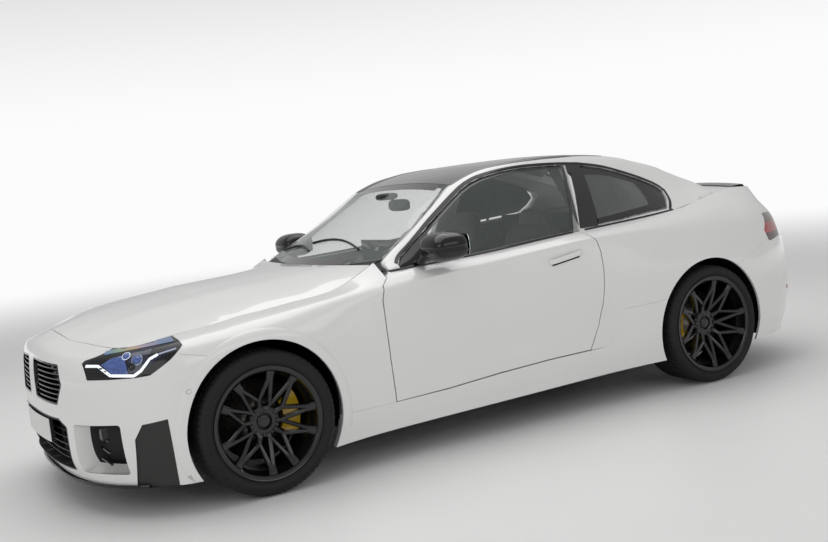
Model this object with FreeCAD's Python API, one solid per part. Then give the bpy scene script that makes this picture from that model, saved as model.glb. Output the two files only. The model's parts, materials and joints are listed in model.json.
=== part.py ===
import FreeCAD, Part
import math
import os

# Two-door coupe car. Millimetres, X forwards, Y to the left, Z up.
# The origin is on the ground, at the middle of the car's length and width.

V = FreeCAD.Vector

# Overall size
LENGTH = 4580.0
WIDTH = 1887.0
HEIGHT = 1403.0
WHEELBASE = 2747.0
FRONT_OVERHANG = 835.0
TRACK_FRONT = 1617.0
TRACK_REAR = 1605.0

# Tyres, as they stand under the car's weight, and rims
TYRE_RADIUS_FRONT = 334.0
TYRE_WIDTH_FRONT = 268.0
RIM_RADIUS_FRONT = 250.0
TYRE_RADIUS_REAR = 336.0
TYRE_WIDTH_REAR = 280.0
RIM_RADIUS_REAR = 262.0
TREAD_WALL = 14.0
SIDEWALL = 10.0
SHOULDER = 20.0
RIM_WALL = 8.0
RIM_STEP = 14.0
RIM_FLANGE = 12.0
BEAD_SEAT = 34.0
RIM_WELL = 18.0
SPOKES = 10
SPOKE_WIDTH = 17.0
SPOKE_DEPTH = 26.0
SPOKE_DISH = 58.0
HUB_RADIUS = 74.0
HUB_WALL = 34.0
CAP_RADIUS = 32.0
CAP_DEPTH = 10.0
MOUNT_OFFSET = 20.0
DISC_RADIUS_FRONT = 190.0
DISC_RADIUS_REAR = 185.0
DISC_BAND = 88.0
DISC_WALL = 32.0
DISC_INSET = 62.0
HAT_WALL = 8.0
CALIPER_WALL = 20.0
CALIPER_GAP = 3.0
CALIPER_LIP = 12.0
CALIPER_SWEEP = 62.0

# Knuckles, carriers, arms and struts
KINGPIN_INSET = 85.0
KINGPIN_RADIUS = 18.0
UPRIGHT_HEIGHT = 300.0
UPRIGHT_WIDTH = 56.0
UPRIGHT_WALL = 30.0
BEARING_RADIUS = 50.0
AXLE_RADIUS = 16.0
ARM_WALL = 18.0
ARM_SPREAD = 280.0
STRUT_RADIUS = 26.0
STRUT_Y = 600.0
TOWER_RADIUS = 75.0
SUBFRAME_HALF = 330.0

# Walls and clearances
SHUT_GAP = 6.0
PANEL_GAP = 0.8
SEAT = 0.3
JOINT_GAP = 0.9
SCREEN_GAP = 2.6
HEAL = 0.01
PANEL_WALL = 14.0
DOOR_WALL = 105.0
DOOR_SKIN = 30.0
DOOR_STEP = 28.0
FRAME_WALL = 70.0
RAIL_WALL = 58.0
ROOF_WALL = 24.0
HOOD_WALL = 22.0
GLASS = 5.0
GLASS_INSET = 9.0
FLOOR_WALL = 30.0
FLOOR_HEIGHT = 150.0
ARCH_RADIUS = 380.0
LINER_WALL = 6.0
LINER_RADIUS_FRONT = 406.0
LINER_RADIUS_REAR = 390.0
LINER_INNER_FRONT = 424.0
LINER_INNER_REAR = 612.0
SEAL_WALL = 8.0
REACH = 1500.0

# Under the skin
RAIL_HALF = 380.0
RAIL_SIDE = 60.0
RAIL_HEIGHT = 90.0
RAIL_Z = 330.0
BULKHEAD_WALL = 20.0
TUNNEL_HALF = 105.0
TUNNEL_HEIGHT = 230.0
FLOOR_HALF = 765.0
PAD_SIDE = 90.0
PAD_WALL = 10.0
PAD_Y = 700.0
ENGINE_LENGTH = 620.0
ENGINE_HALF = 230.0
ENGINE_HEIGHT = 430.0
ENGINE_Z = 300.0
RADIATOR_WALL = 60.0
RADIATOR_HALF = 430.0
PIPE_RADIUS = 46.0
PIPE_WALL = 3.0
PIPE_Z = 285.0
SILENCER_HEIGHT = 130.0
EXHAUST_RADIUS = 32.0

# Cabin
CHAIR_HEIGHT = 900.0
CHAIR_HALF = 260.0
CHAIR_Y = 370.0
CHAIR_X = -420.0
BENCH_X = -1010.0
STEERING_RADIUS = 182.0
STEERING_RIM = 15.0
STEERING_X = 360.0
STEERING_Z = 815.0
STEERING_TILT = 24.0
STEERING_HUB = 62.0
COLUMN_RADIUS = 22.0
DASH_HALF = 660.0

# What moves
DOOR_HINGE_LEAD = 10.0
DOOR_HINGE_OUT = 900.0
HOOD_HINGE_X = 748.0
HOOD_HINGE_Z = 935.0
LID_HINGE_LEAD = 8.0
LID_HINGE_Z = 1095.0
STEER_ANGLE = 33.0
STOP_RADIUS = 10.0

# Derived places
HALF = WIDTH / 2
NOSE_X = LENGTH / 2
FRONT_AXLE_X = NOSE_X - FRONT_OVERHANG
REAR_AXLE_X = FRONT_AXLE_X - WHEELBASE
REAR_OVERHANG = REAR_AXLE_X + LENGTH / 2
INSIDE = V(0, 0, 0.4 * HEIGHT)


def along(share):
    # 0 is the front axle, 1 the rear axle, -1 the nose and 2 the tail
    if share < 0:
        return FRONT_AXLE_X - share * FRONT_OVERHANG
    if share <= 1:
        return FRONT_AXLE_X - share * WHEELBASE
    return REAR_AXLE_X - (share - 1) * REAR_OVERHANG


def spot(share, y_share, z_share):
    return V(along(share), y_share * HALF, z_share * HEIGHT)


class Curve:
    # A smooth line through pairs that never swings past them
    def __init__(self, pairs):
        self.at = [float(a) for a, b in pairs]
        self.to = [float(b) for a, b in pairs]
        spans = range(len(pairs) - 1)
        rise = [(self.to[i + 1] - self.to[i]) / (self.at[i + 1] - self.at[i]) for i in spans]
        self.slope = [rise[0]]
        for i in range(1, len(rise)):
            if rise[i - 1] * rise[i] <= 0:
                self.slope.append(0.0)
            else:
                before = self.at[i] - self.at[i - 1]
                after = self.at[i + 1] - self.at[i]
                w1 = 2 * after + before
                w2 = after + 2 * before
                self.slope.append((w1 + w2) / (w1 / rise[i - 1] + w2 / rise[i]))
        self.slope.append(rise[-1])

    def __call__(self, a):
        i = 0
        while i < len(self.at) - 2 and a > self.at[i + 1]:
            i += 1
        h = self.at[i + 1] - self.at[i]
        t = min(max((a - self.at[i]) / h, 0.0), 1.0)
        rest = 1 - t
        value = self.to[i] * (1 + 2 * t) * rest * rest + self.to[i + 1] * t * t * (3 - 2 * t)
        value += h * self.slope[i] * t * rest * rest - h * self.slope[i + 1] * t * t * rest
        return value


def steps(first, last, count):
    return [first + (last - first) * n / (count - 1) for n in range(count)]


def spread(points, count):
    # The same line with its points set evenly along its length
    reach = [0.0]
    for a, b in zip(points, points[1:]):
        reach.append(reach[-1] + (b - a).Length)
    out = []
    for want in steps(0, reach[-1], count):
        i = 0
        while i < len(reach) - 2 and want > reach[i + 1]:
            i += 1
        t = (want - reach[i]) / (reach[i + 1] - reach[i])
        out.append(points[i] + (points[i + 1] - points[i]) * t)
    return out


# Surfaces and solids

def widened(points):
    # The poles of the smooth cubic line through the points, two for each point
    last = len(points) - 1
    right = [points[min(i + 1, last)] - points[max(i - 1, 0)] for i in range(last + 1)]
    weights = [2.0] + [4.0] * (last - 1) + [2.0]
    slopes = [right[0] * 3]
    scale = [weights[0]]
    for i in range(1, last + 1):
        share = 1 / scale[-1]
        scale.append(weights[i] - share)
        slopes.append(right[i] * 3 - slopes[-1] * share)
    slopes[last] = slopes[last] * (1 / scale[last])
    for i in range(last - 1, -1, -1):
        slopes[i] = (slopes[i] - slopes[i + 1]) * (1 / scale[i])
    poles = [points[0], points[0] + slopes[0] / 3]
    for i in range(1, last):
        poles += [points[i] - slopes[i] / 3, points[i] + slopes[i] / 3]
    return poles + [points[last] - slopes[last] / 3, points[last]]


def skin(grid):
    # The smooth surface through every point of the grid
    rows = [widened(row) for row in grid]
    poles = [widened(column) for column in zip(*rows)]
    across = len(grid[0])
    down = len(grid)
    surface = Part.BSplineSurface()
    surface.buildFromPolesMultsKnots(
        poles,
        [4] + [2] * (across - 2) + [4],
        [4] + [2] * (down - 2) + [4],
        [float(n) for n in range(across)],
        [float(n) for n in range(down)],
        False, False, 3, 3)
    return surface


def unit(vector):
    return vector * (1 / vector.Length)


def normals(grid):
    # Directions off the surface, evened out with their neighbours so that tight bends don't fold
    rows = len(grid)
    columns = len(grid[0])
    out = []
    for i in range(rows):
        line = []
        for j in range(columns):
            u = grid[min(i + 1, rows - 1)][j] - grid[max(i - 1, 0)][j]
            v = grid[i][min(j + 1, columns - 1)] - grid[i][max(j - 1, 0)]
            line.append(unit(u.cross(v)))
        out.append(line)
    for turn in range(3):
        calm = []
        for i in range(rows):
            line = []
            for j in range(columns):
                total = out[i][j] * 2 + out[max(i - 1, 0)][j] + out[min(i + 1, rows - 1)][j]
                total += out[i][max(j - 1, 0)] + out[i][min(j + 1, columns - 1)]
                line.append(unit(total))
            calm.append(line)
        out = calm
    return out


def sunk(grid, depth, inside=INSIDE):
    # The grid set back along its own normals, towards the side that holds the inside point
    directions = normals(grid)
    i = len(grid) // 2
    j = len(grid[0]) // 2
    sign = 1 if (inside - grid[i][j]).dot(directions[i][j]) > 0 else -1
    return [[p + n * (sign * depth) for p, n in zip(row, line)] for row, line in zip(grid, directions)]


def shifted(grid, by):
    return [[p + by for p in row] for row in grid]


def between(near, far):
    # The closed solid between two skins
    outer = skin(near)
    inner = skin(far)
    u0, u1, v0, v1 = outer.bounds()
    pairs = [
        (outer.uIso(u0), inner.uIso(u0)),
        (outer.uIso(u1), inner.uIso(u1)),
        (outer.vIso(v0), inner.vIso(v0)),
        (outer.vIso(v1), inner.vIso(v1)),
    ]
    faces = [outer.toShape(), inner.toShape()]
    faces += [Part.makeRuledSurface(a.toShape(), b.toShape()) for a, b in pairs]
    shell = Part.makeShell(faces)
    shell.sewShape()
    solid = Part.makeSolid(shell if shell.ShapeType == "Shell" else shell.Shells[0])
    if solid.Volume < 0:
        solid.reverse()
    return solid


def rounded(points, radius):
    # A closed wire through corner points, each corner turned by an arc
    ends = []
    count = len(points)
    for i in range(count):
        p = points[i]
        a = points[i - 1] - p
        b = points[(i + 1) % count] - p
        turn = a.getAngle(b)
        reach = min(radius / math.tan(turn / 2), 0.45 * a.Length, 0.45 * b.Length) if radius else 0
        if reach < SEAT or turn > 0.98 * math.pi:
            ends.append((p, None, p))
            continue
        middle = unit(unit(a) + unit(b))
        r = reach * math.tan(turn / 2)
        centre = p + middle * (r / math.sin(turn / 2))
        ends.append((p + unit(a) * reach, centre - middle * r, p + unit(b) * reach))
    edges = []
    for i in range(count):
        start, top, stop = ends[i]
        if top is not None:
            edges.append(Part.Arc(start, top, stop).toShape())
        following = ends[(i + 1) % count][0]
        if (following - stop).Length > SEAT / 3:
            edges.append(Part.LineSegment(stop, following).toShape())
    return Part.Wire(edges)


def prism(points, direction, radius=0.0):
    return Part.Face(rounded(points, radius)).extrude(direction)


def side_prism(pairs, radius=0.0, y_from=0.0, y_to=REACH):
    # Seen from the side: pairs of place along the car and height
    return prism([V(x, y_from, z) for x, z in pairs], V(0, y_to - y_from, 0), radius)


def front_prism(pairs, x_from, x_to, radius=0.0):
    # Seen from the front: pairs of place across the car and height
    return prism([V(x_from, y, z) for y, z in pairs], V(x_to - x_from, 0, 0), radius)


def plan_prism(pairs, z_from, z_to, radius=0.0):
    # Seen from above
    return prism([V(x, y, z_from) for x, y in pairs], V(0, 0, z_to - z_from), radius)


def box(x0, x1, y0, y1, z0, z1):
    return Part.makeBox(x1 - x0, y1 - y0, z1 - z0, V(x0, y0, z0))


def tube(start, stop, radius):
    return Part.makeCylinder(radius, (stop - start).Length, start, stop - start)


def drum(x, z, radius, y_from, y_to):
    return Part.makeCylinder(radius, y_to - y_from, V(x, y_from, z), V(0, 1, 0))


def fused(shapes):
    body = shapes[0].fuse(shapes[1:]) if len(shapes) > 1 else shapes[0]
    return body.removeSplitter()


def healed(shape):
    # A cut along a steep skin leaves small steps in its edges, which this closes
    body = max(shape.Solids, key=lambda s: s.Volume).copy()
    body.fix(HEAL, HEAL, 10 * HEAL)
    return body


def mirrored(shape):
    return shape.mirror(V(0, 0, 0), V(0, 1, 0))


def pair(shape):
    # The left piece and its mirror image on the right
    return Part.makeCompound([shape, mirrored(shape)])


def at(pairs):
    return [(along(a), z * HEIGHT) for a, z in pairs]


def across(pairs):
    return [(y * HALF, z * HEIGHT) for y, z in pairs]


# The side's sections, from the skirt's edge up to the shoulder's crest
SIDE_SHARES = [
    (-0.449, [(0.955, 0.100), (0.975, 0.225), (0.987, 0.340), (0.982, 0.450), (0.955, 0.512), (0.900, 0.540)]),
    (-0.220, [(0.975, 0.100), (0.985, 0.225), (0.993, 0.350), (0.993, 0.480), (0.968, 0.528), (0.890, 0.555)]),
    (0.000, [(0.985, 0.100), (0.990, 0.225), (0.995, 0.360), (0.995, 0.500), (0.970, 0.542), (0.890, 0.570)]),
    (0.080, [(0.970, 0.100), (0.980, 0.225), (0.987, 0.350), (0.985, 0.480), (0.957, 0.552), (0.895, 0.582)]),
    (0.150, [(0.935, 0.105), (0.958, 0.228), (0.962, 0.340), (0.965, 0.455), (0.948, 0.565), (0.905, 0.596)]),
    (0.250, [(0.930, 0.112), (0.945, 0.230), (0.938, 0.340), (0.948, 0.455), (0.947, 0.593), (0.918, 0.618)]),
    (0.493, [(0.930, 0.120), (0.942, 0.232), (0.932, 0.340), (0.945, 0.460), (0.945, 0.628), (0.915, 0.648)]),
    (0.734, [(0.930, 0.128), (0.945, 0.235), (0.940, 0.345), (0.955, 0.465), (0.950, 0.656), (0.915, 0.676)]),
    (0.839, [(0.945, 0.130), (0.965, 0.237), (0.975, 0.350), (0.982, 0.480), (0.962, 0.655), (0.915, 0.684)]),
    (0.930, [(0.970, 0.130), (0.985, 0.238), (0.996, 0.360), (0.998, 0.495), (0.965, 0.645), (0.905, 0.690)]),
    (1.000, [(0.985, 0.130), (0.995, 0.238), (1.000, 0.365), (1.000, 0.500), (0.965, 0.640), (0.895, 0.696)]),
    (1.150, [(0.985, 0.130), (0.995, 0.238), (1.000, 0.365), (0.998, 0.490), (0.958, 0.638), (0.882, 0.700)]),
    (1.369, [(0.960, 0.130), (0.985, 0.238), (0.988, 0.350), (0.980, 0.465), (0.938, 0.630), (0.850, 0.700)]),
]
LEVELS = len(SIDE_SHARES[0][1])

# The hood's side line, which is the fender's top edge
HOOD_LINE_SHARES = [
    (-0.690, 0.660, 0.537), (-0.640, 0.715, 0.536), (-0.560, 0.758, 0.541), (-0.449, 0.785, 0.552),
    (-0.376, 0.785, 0.5575), (-0.223, 0.780, 0.5645), (0.022, 0.765, 0.583), (0.115, 0.762, 0.598),
    (0.174, 0.762, 0.612), (0.206, 0.762, 0.631), (0.233, 0.762, 0.6615), (0.262, 0.762, 0.6855),
]
# The belt under the side windows, and on to the boot's side line
BELT_LINE_SHARES = [
    (0.235, 0.848, 0.6475), (0.2785, 0.850, 0.651), (0.366, 0.855, 0.657), (0.476, 0.860, 0.664),
    (0.538, 0.860, 0.671), (0.640, 0.857, 0.6835), (0.710, 0.853, 0.690), (0.766, 0.848, 0.6945),
    (0.898, 0.836, 0.707), (0.930, 0.830, 0.711), (1.000, 0.805, 0.722), (1.150, 0.765, 0.738),
    (1.369, 0.700, 0.759),
]

SIDE_Y = [Curve([(a, row[k][0]) for a, row in SIDE_SHARES]) for k in range(LEVELS)]
SIDE_Z = [Curve([(a, row[k][1]) for a, row in SIDE_SHARES]) for k in range(LEVELS)]
HOOD_LINE_Y = Curve([(a, y) for a, y, z in HOOD_LINE_SHARES])
HOOD_LINE_Z = Curve([(a, z) for a, y, z in HOOD_LINE_SHARES])
BELT_Y = Curve([(a, y) for a, y, z in BELT_LINE_SHARES])
BELT_Z = Curve([(a, z) for a, y, z in BELT_LINE_SHARES])


def side_column(a, top_y, top_z):
    column = [spot(a, SIDE_Y[k](a), SIDE_Z[k](a)) for k in range(LEVELS)]
    column.append(spot(a, top_y(a), top_z(a)))
    return column


def fine_column(column, count):
    # More points up a section, on smooth curves through its few
    ranks = range(len(column))
    xs = Curve([(n, column[n].x) for n in ranks])
    ys = Curve([(n, column[n].y) for n in ranks])
    zs = Curve([(n, column[n].z) for n in ranks])
    return [V(xs(n), ys(n), zs(n)) for n in steps(0, len(column) - 1, count)]


# The nose: each level's place at the centre line, and how far it dips at the corner
NOSE_SHARES = [(-0.930, 0.115), (-0.985, 0.180), (-1.000, 0.300), (-0.997, 0.420), (-0.985, 0.500), (-0.958, 0.540)]
NOSE_DIP_SHARES = [0.0, 0.0, 0.0, 0.0, 0.030, 0.025]
NOSE_SQUARE = 3.0
CORNER_ROUND = 1.35
NOSE_TOP_SHARES = [
    (-0.850, 0.000, 0.579), (-0.845, 0.160, 0.572), (-0.826, 0.318, 0.5570), (-0.777, 0.445, 0.549),
    (-0.734, 0.583, 0.5424), (-0.690, 0.660, 0.537), (-0.640, 0.715, 0.536), (-0.560, 0.758, 0.541),
    (-0.449, 0.785, 0.552),
]
# The tail, in the same way
TAIL_SHARES = [(1.900, 0.130), (1.965, 0.238), (2.000, 0.350), (1.995, 0.465), (1.925, 0.610), (1.865, 0.700)]
TAIL_DIP_SHARES = [0.0] * LEVELS
TAIL_SQUARE = 5.0
TAIL_TOP_SHARES = [
    (1.369, 0.700, 0.759), (1.430, 0.680, 0.764), (1.550, 0.650, 0.768), (1.680, 0.625, 0.765),
    (1.760, 0.595, 0.759), (1.795, 0.520, 0.758), (1.803, 0.350, 0.762), (1.803, 0.180, 0.765),
    (1.803, 0.000, 0.766),
]
NOSE_SEAM = SIDE_SHARES[0][0]
TAIL_SEAM = SIDE_SHARES[-1][0]
END_COLUMNS = 12
CORNER_SAMPLES = 60
SIDE_ROWS = 19


def corner_line(seam, centre, square, dip):
    # From the centre line round the corner to the seam on the side, as a squared ellipse
    points = []
    for turn in steps(0, math.pi / 2, CORNER_SAMPLES):
        y_share = math.sin(turn) ** (2 / square)
        x_share = math.cos(turn) ** (2 / CORNER_ROUND) if turn < math.pi / 2 else 0.0
        height = centre.z + (seam.z - centre.z) * y_share ** 2 - 4 * dip * y_share ** 2 * (1 - y_share ** 2)
        points.append(V(seam.x + (centre.x - seam.x) * x_share, seam.y * y_share, height))
    return spread(points, END_COLUMNS)


def end_columns(seam, centre_shares, dips, square, top_shares):
    # The bumper's columns, from the centre line out to the seam
    lines = []
    for k in range(LEVELS):
        a, z = centre_shares[k]
        lines.append(corner_line(seam[k], spot(a, 0, z), square, dips[k] * HEIGHT))
    top = sorted([spot(a, y, z) for a, y, z in top_shares], key=lambda p: p.y)
    lines.append(spread(top, END_COLUMNS))
    return [[line[n] for line in lines] for n in range(END_COLUMNS)]


NOSE_COLUMNS = end_columns(
    side_column(NOSE_SEAM, HOOD_LINE_Y, HOOD_LINE_Z), NOSE_SHARES, NOSE_DIP_SHARES, NOSE_SQUARE, NOSE_TOP_SHARES)
TAIL_COLUMNS = end_columns(
    side_column(TAIL_SEAM, BELT_Y, BELT_Z), TAIL_SHARES, TAIL_DIP_SHARES, TAIL_SQUARE, TAIL_TOP_SHARES)
FENDER_STATION_SHARES = [-0.3, -0.15, 0.0, 0.05, 0.1, 0.15, 0.2, 0.262]
DOOR_STATION_SHARES = [
    0.115, 0.175, 0.235, 0.29, 0.34, 0.40, 0.46, 0.52, 0.58, 0.64, 0.70, 0.75, 0.80, 0.85, 0.90, 0.95, 1.0, 1.1, 1.2,
    1.29, 1.369,
]
QUARTER_STATION_SHARES = [0.64, 0.70, 0.75, 0.80, 0.85, 0.90, 0.95, 1.0, 1.1, 1.2, 1.29]


def both_halves(columns):
    # Columns that start on the centre line, continued across it
    far = [[V(p.x, -p.y, p.z) for p in column] for column in columns[:0:-1]]
    return far + columns


def side_grid(columns):
    return [fine_column(column, SIDE_ROWS) for column in columns]


FRONT_GRID = side_grid(both_halves(
    NOSE_COLUMNS + [side_column(a, HOOD_LINE_Y, HOOD_LINE_Z) for a in FENDER_STATION_SHARES]))
REAR_GRID = side_grid(both_halves(
    TAIL_COLUMNS + [side_column(a, BELT_Y, BELT_Z) for a in QUARTER_STATION_SHARES[::-1]]))
DOOR_GRID = side_grid([side_column(a, BELT_Y, BELT_Z) for a in DOOR_STATION_SHARES])

# The greenhouse, station by station: middle of the glass, window top, crest of the rail, joint to the roof
UPPER_SHARES = [
    (0.2785, [(0.835, 0.660), (0.815, 0.668), (0.775, 0.678), (0.757, 0.6835)]),
    (0.3353, [(0.832, 0.680), (0.795, 0.700), (0.722, 0.742), (0.693, 0.745)]),
    (0.3648, [(0.826, 0.695), (0.775, 0.733), (0.690, 0.777), (0.661, 0.776)]),
    (0.4237, [(0.805, 0.742), (0.725, 0.818), (0.638, 0.854), (0.608, 0.848)]),
    (0.4790, [(0.790, 0.780), (0.692, 0.888), (0.605, 0.924), (0.572, 0.9225)]),
    (0.5290, [(0.785, 0.800), (0.680, 0.925), (0.606, 0.958), (0.576, 0.956)]),
    (0.6030, [(0.780, 0.812), (0.674, 0.942), (0.607, 0.982), (0.578, 0.984)]),
    (0.6800, [(0.775, 0.818), (0.670, 0.944), (0.607, 0.988), (0.578, 0.991)]),
    (0.7500, [(0.770, 0.815), (0.667, 0.934), (0.604, 0.983), (0.575, 0.988)]),
    (0.8390, [(0.755, 0.805), (0.657, 0.906), (0.595, 0.966), (0.566, 0.974)]),
    (0.9060, [(0.740, 0.790), (0.650, 0.868), (0.587, 0.943), (0.558, 0.953)]),
    (0.9850, [(0.725, 0.775), (0.645, 0.835), (0.580, 0.902), (0.553, 0.912)]),
    (1.1340, [(0.705, 0.770), (0.645, 0.808), (0.587, 0.855), (0.562, 0.862)]),
    (1.2800, [(0.700, 0.768), (0.655, 0.788), (0.606, 0.812), (0.582, 0.815)]),
    (1.4000, [(0.675, 0.767), (0.650, 0.771), (0.625, 0.776), (0.605, 0.777)]),
    (1.5300, [(0.640, 0.7690), (0.626, 0.7697), (0.612, 0.7703), (0.5985, 0.7706)]),
    (1.6500, [(0.623, 0.7660), (0.613, 0.7663), (0.603, 0.7665), (0.5935, 0.7666)]),
    (1.7500, [(0.595, 0.7598), (0.591, 0.7599), (0.587, 0.7600), (0.5835, 0.7600)]),
]
UPPER_LEVELS = len(UPPER_SHARES[0][1])
UPPER_Y = [Curve([(a, row[k][0]) for a, row in UPPER_SHARES]) for k in range(UPPER_LEVELS)]
UPPER_Z = [Curve([(a, row[k][1]) for a, row in UPPER_SHARES]) for k in range(UPPER_LEVELS)]
DECK_Y = Curve([(a, y) for a, y, z in TAIL_TOP_SHARES[:5]])
DECK_Z = Curve([(a, z) for a, y, z in TAIL_TOP_SHARES[:5]])
UPPER_ROWS = 13
PILLAR_FOOT = 0.2785
HEADER = 0.4805
ROOF_END = 0.985
WINDOW_END = 1.4
LEAN_SHARES = [(PILLAR_FOOT, 0.0), (1.0, 0.0), (1.28, 0.55), (1.75, 0.3)]
LEAN = Curve(LEAN_SHARES)
# How the frame's thickness runs out along the deck
SLIM_SHARES = [(PILLAR_FOOT, 1.0), (1.2, 1.0), (1.5, 0.3), (1.75, 0.15)]
SLIM = Curve(SLIM_SHARES)
# The frame itself is slimmer at the windscreen pillar's foot too
FRAME_SLIM_SHARES = [(PILLAR_FOOT, 0.3), (0.36, 1.0)] + SLIM_SHARES[1:]
FRAME_SLIM = Curve(FRAME_SLIM_SHARES)
UPPER_STATION_SHARES = [
    PILLAR_FOOT, 0.31, 0.34, 0.37, 0.40, 0.43, 0.46, HEADER, 0.52, 0.56, 0.61, 0.66, 0.71, 0.76, 0.81, 0.86, 0.91, 0.95,
    ROOF_END, 1.06, 1.13, 1.20, 1.27, 1.34, WINDOW_END, 1.50, 1.60, 1.68, 1.711,
]


def upper_column(a):
    if a <= TAIL_SEAM:
        base = spot(a, BELT_Y(a), BELT_Z(a))
    else:
        base = spot(a, DECK_Y(a), DECK_Z(a))
    # A seat's width above the panel below, so that the two don't touch
    column = [base] + [spot(a, UPPER_Y[k](a), UPPER_Z[k](a)) for k in range(UPPER_LEVELS)]
    return [p + V(0, 0, SEAT) for p in column]


UPPER_GRID = [fine_column(upper_column(a), UPPER_ROWS) for a in UPPER_STATION_SHARES]


def upper_sunk(depth, slim=SLIM):
    # Set back sideways at the belt, turning to straight down at the roof joint, and less along the deck
    grid = []
    for a, row in zip(UPPER_STATION_SHARES, UPPER_GRID):
        first = LEAN(a) * math.pi / 2
        line = []
        for p, turn in zip(row, steps(first, math.pi / 2, UPPER_ROWS)):
            line.append(p - V(0, math.cos(turn), math.sin(turn)) * depth * slim(a))
        grid.append(line)
    return grid


# Hood: rows run from its front edge back to the cowl
HOOD_CENTRE_SHARES = [(-0.850, 0.579), (-0.650, 0.608), (-0.410, 0.630), (-0.050, 0.652), (0.100, 0.667), (0.226, 0.679)]
HOOD_CENTRE_Z = Curve(HOOD_CENTRE_SHARES)
HOOD_FRONT_A = Curve([(y, a) for a, y, z in NOSE_TOP_SHARES[:6]])
HOOD_FRONT_Z = Curve([(y, z) for a, y, z in NOSE_TOP_SHARES[:6]])
HOOD_NOSE = NOSE_TOP_SHARES[0]
HOOD_CORNER = NOSE_TOP_SHARES[5]
COWL_CENTRE = 0.226
COWL_CORNER = 0.2545
HOOD_ROWS = 15
HOOD_COLUMNS = 21
RIDGE = 8.0
RIDGE_SHARE = 0.52
RIDGE_WIDTH_SHARE = 0.13


def hood_point(v, c):
    # v runs from the front edge to the cowl, c from the right side to the left
    side_a = HOOD_CORNER[0] + (COWL_CORNER - HOOD_CORNER[0]) * v
    centre_a = HOOD_NOSE[0] + (COWL_CENTRE - HOOD_NOSE[0]) * v
    side_y = HOOD_LINE_Y(side_a) * HALF - SHUT_GAP
    front_y = abs(c) * HOOD_CORNER[1]
    front_shape = (HOOD_FRONT_A(front_y) - HOOD_NOSE[0]) / (HOOD_CORNER[0] - HOOD_NOSE[0])
    shape = (1 - v) * front_shape + v * c * c
    x = along(centre_a) + (along(side_a) - along(centre_a)) * shape - SHUT_GAP * (1 - v)
    crown = 1 - abs(c) ** 2.4
    level = HOOD_LINE_Z(side_a) + (HOOD_CENTRE_Z(centre_a) - HOOD_LINE_Z(side_a)) * crown
    first = HOOD_CORNER[2] + (HOOD_NOSE[2] - HOOD_CORNER[2]) * crown
    level += (HOOD_FRONT_Z(front_y) - first) * (1 - v) ** 4
    off = (abs(c) - RIDGE_SHARE) / RIDGE_WIDTH_SHARE
    swell = math.exp(-off ** 2) * math.sin(math.pi * v) ** 0.7 if v < 1 else 0.0
    return V(x, c * side_y, level * HEIGHT + RIDGE * swell)


# Windscreen, roof and rear window: their centre lines, and their sides on the joint line
SCREEN_CENTRE_SHARES = [(0.2385, 0.669), (0.4735, 0.9423)]
ROOF_CENTRE_SHARES = [
    (0.475, 0.944), (0.53, 0.968), (0.60, 0.989), (0.70, 0.999), (0.748, 1.0), (0.82, 0.995), (0.90, 0.979),
    (0.965, 0.957),
]
WINDOW_CENTRE_SHARES = [(0.9670, 0.9562), (1.405, 0.7785)]
CROWN_POWER = 2.3
SCREEN_BULGE = 14.0
CROSS_COLUMNS = 15


def crown_row(side_a, centre_a, centre_z, gap=JOINT_GAP):
    side_y = UPPER_Y[-1](side_a) * HALF - gap
    side_z = UPPER_Z[-1](side_a) * HEIGHT
    row = []
    for c in steps(-1, 1, CROSS_COLUMNS):
        x = along(centre_a) + (along(side_a) - along(centre_a)) * c * c
        row.append(V(x, c * side_y, centre_z + (side_z - centre_z) * abs(c) ** CROWN_POWER))
    return row


def glazing_grid(side_first, side_last, centre_shares, rows, gap=JOINT_GAP):
    (a0, z0), (a1, z1) = centre_shares
    grid = []
    for v in steps(0, 1, rows):
        centre = a0 + (a1 - a0) * v
        height = (z0 + (z1 - z0) * v) * HEIGHT + SCREEN_BULGE * 4 * v * (1 - v)
        grid.append(crown_row(side_first + (side_last - side_first) * v, centre, height, gap))
    return grid


ROOF_CENTRE_Z = Curve(ROOF_CENTRE_SHARES)
SCREEN_GRID = glazing_grid(0.2860, HEADER - 0.0012, SCREEN_CENTRE_SHARES, 9, SCREEN_GAP)
WINDOW_GRID = glazing_grid(ROOF_END + 0.0012, WINDOW_END, WINDOW_CENTRE_SHARES, 9)


def roof_grid():
    grid = []
    for v in steps(0, 1, 15):
        centre = ROOF_CENTRE_SHARES[0][0] + (ROOF_CENTRE_SHARES[-1][0] - ROOF_CENTRE_SHARES[0][0]) * v
        grid.append(crown_row(HEADER + (ROOF_END - HEADER) * v, centre, ROOF_CENTRE_Z(centre) * HEIGHT))
    return grid


# Boot lid: rows over its top, then down its rear face
BOOT_TOP_SHARES = [
    (1.4170, 0.592, 0.7780, 0.7735), (1.5300, 0.592, 0.7830, 0.7705), (1.6500, 0.587, 0.7845, 0.7665),
    (1.7500, 0.577, 0.7810, 0.7600),
]
BOOT_FACE_LEVELS = [6.0, 5.5, 5.0, 4.5, 4.0, 3.75]
BOOT_SIDE_SHARE = 0.560
QUARTERS = 4


def tail_line(level):
    # The tail's line at a level between its feature lines: place and height over the half width
    columns = [fine_column(column, LEVELS * QUARTERS + 1) for column in TAIL_COLUMNS]
    line = [column[int(round(level * QUARTERS))] for column in columns]
    return Curve([(p.y, p.x) for p in line]), Curve([(p.y, p.z) for p in line])


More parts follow.
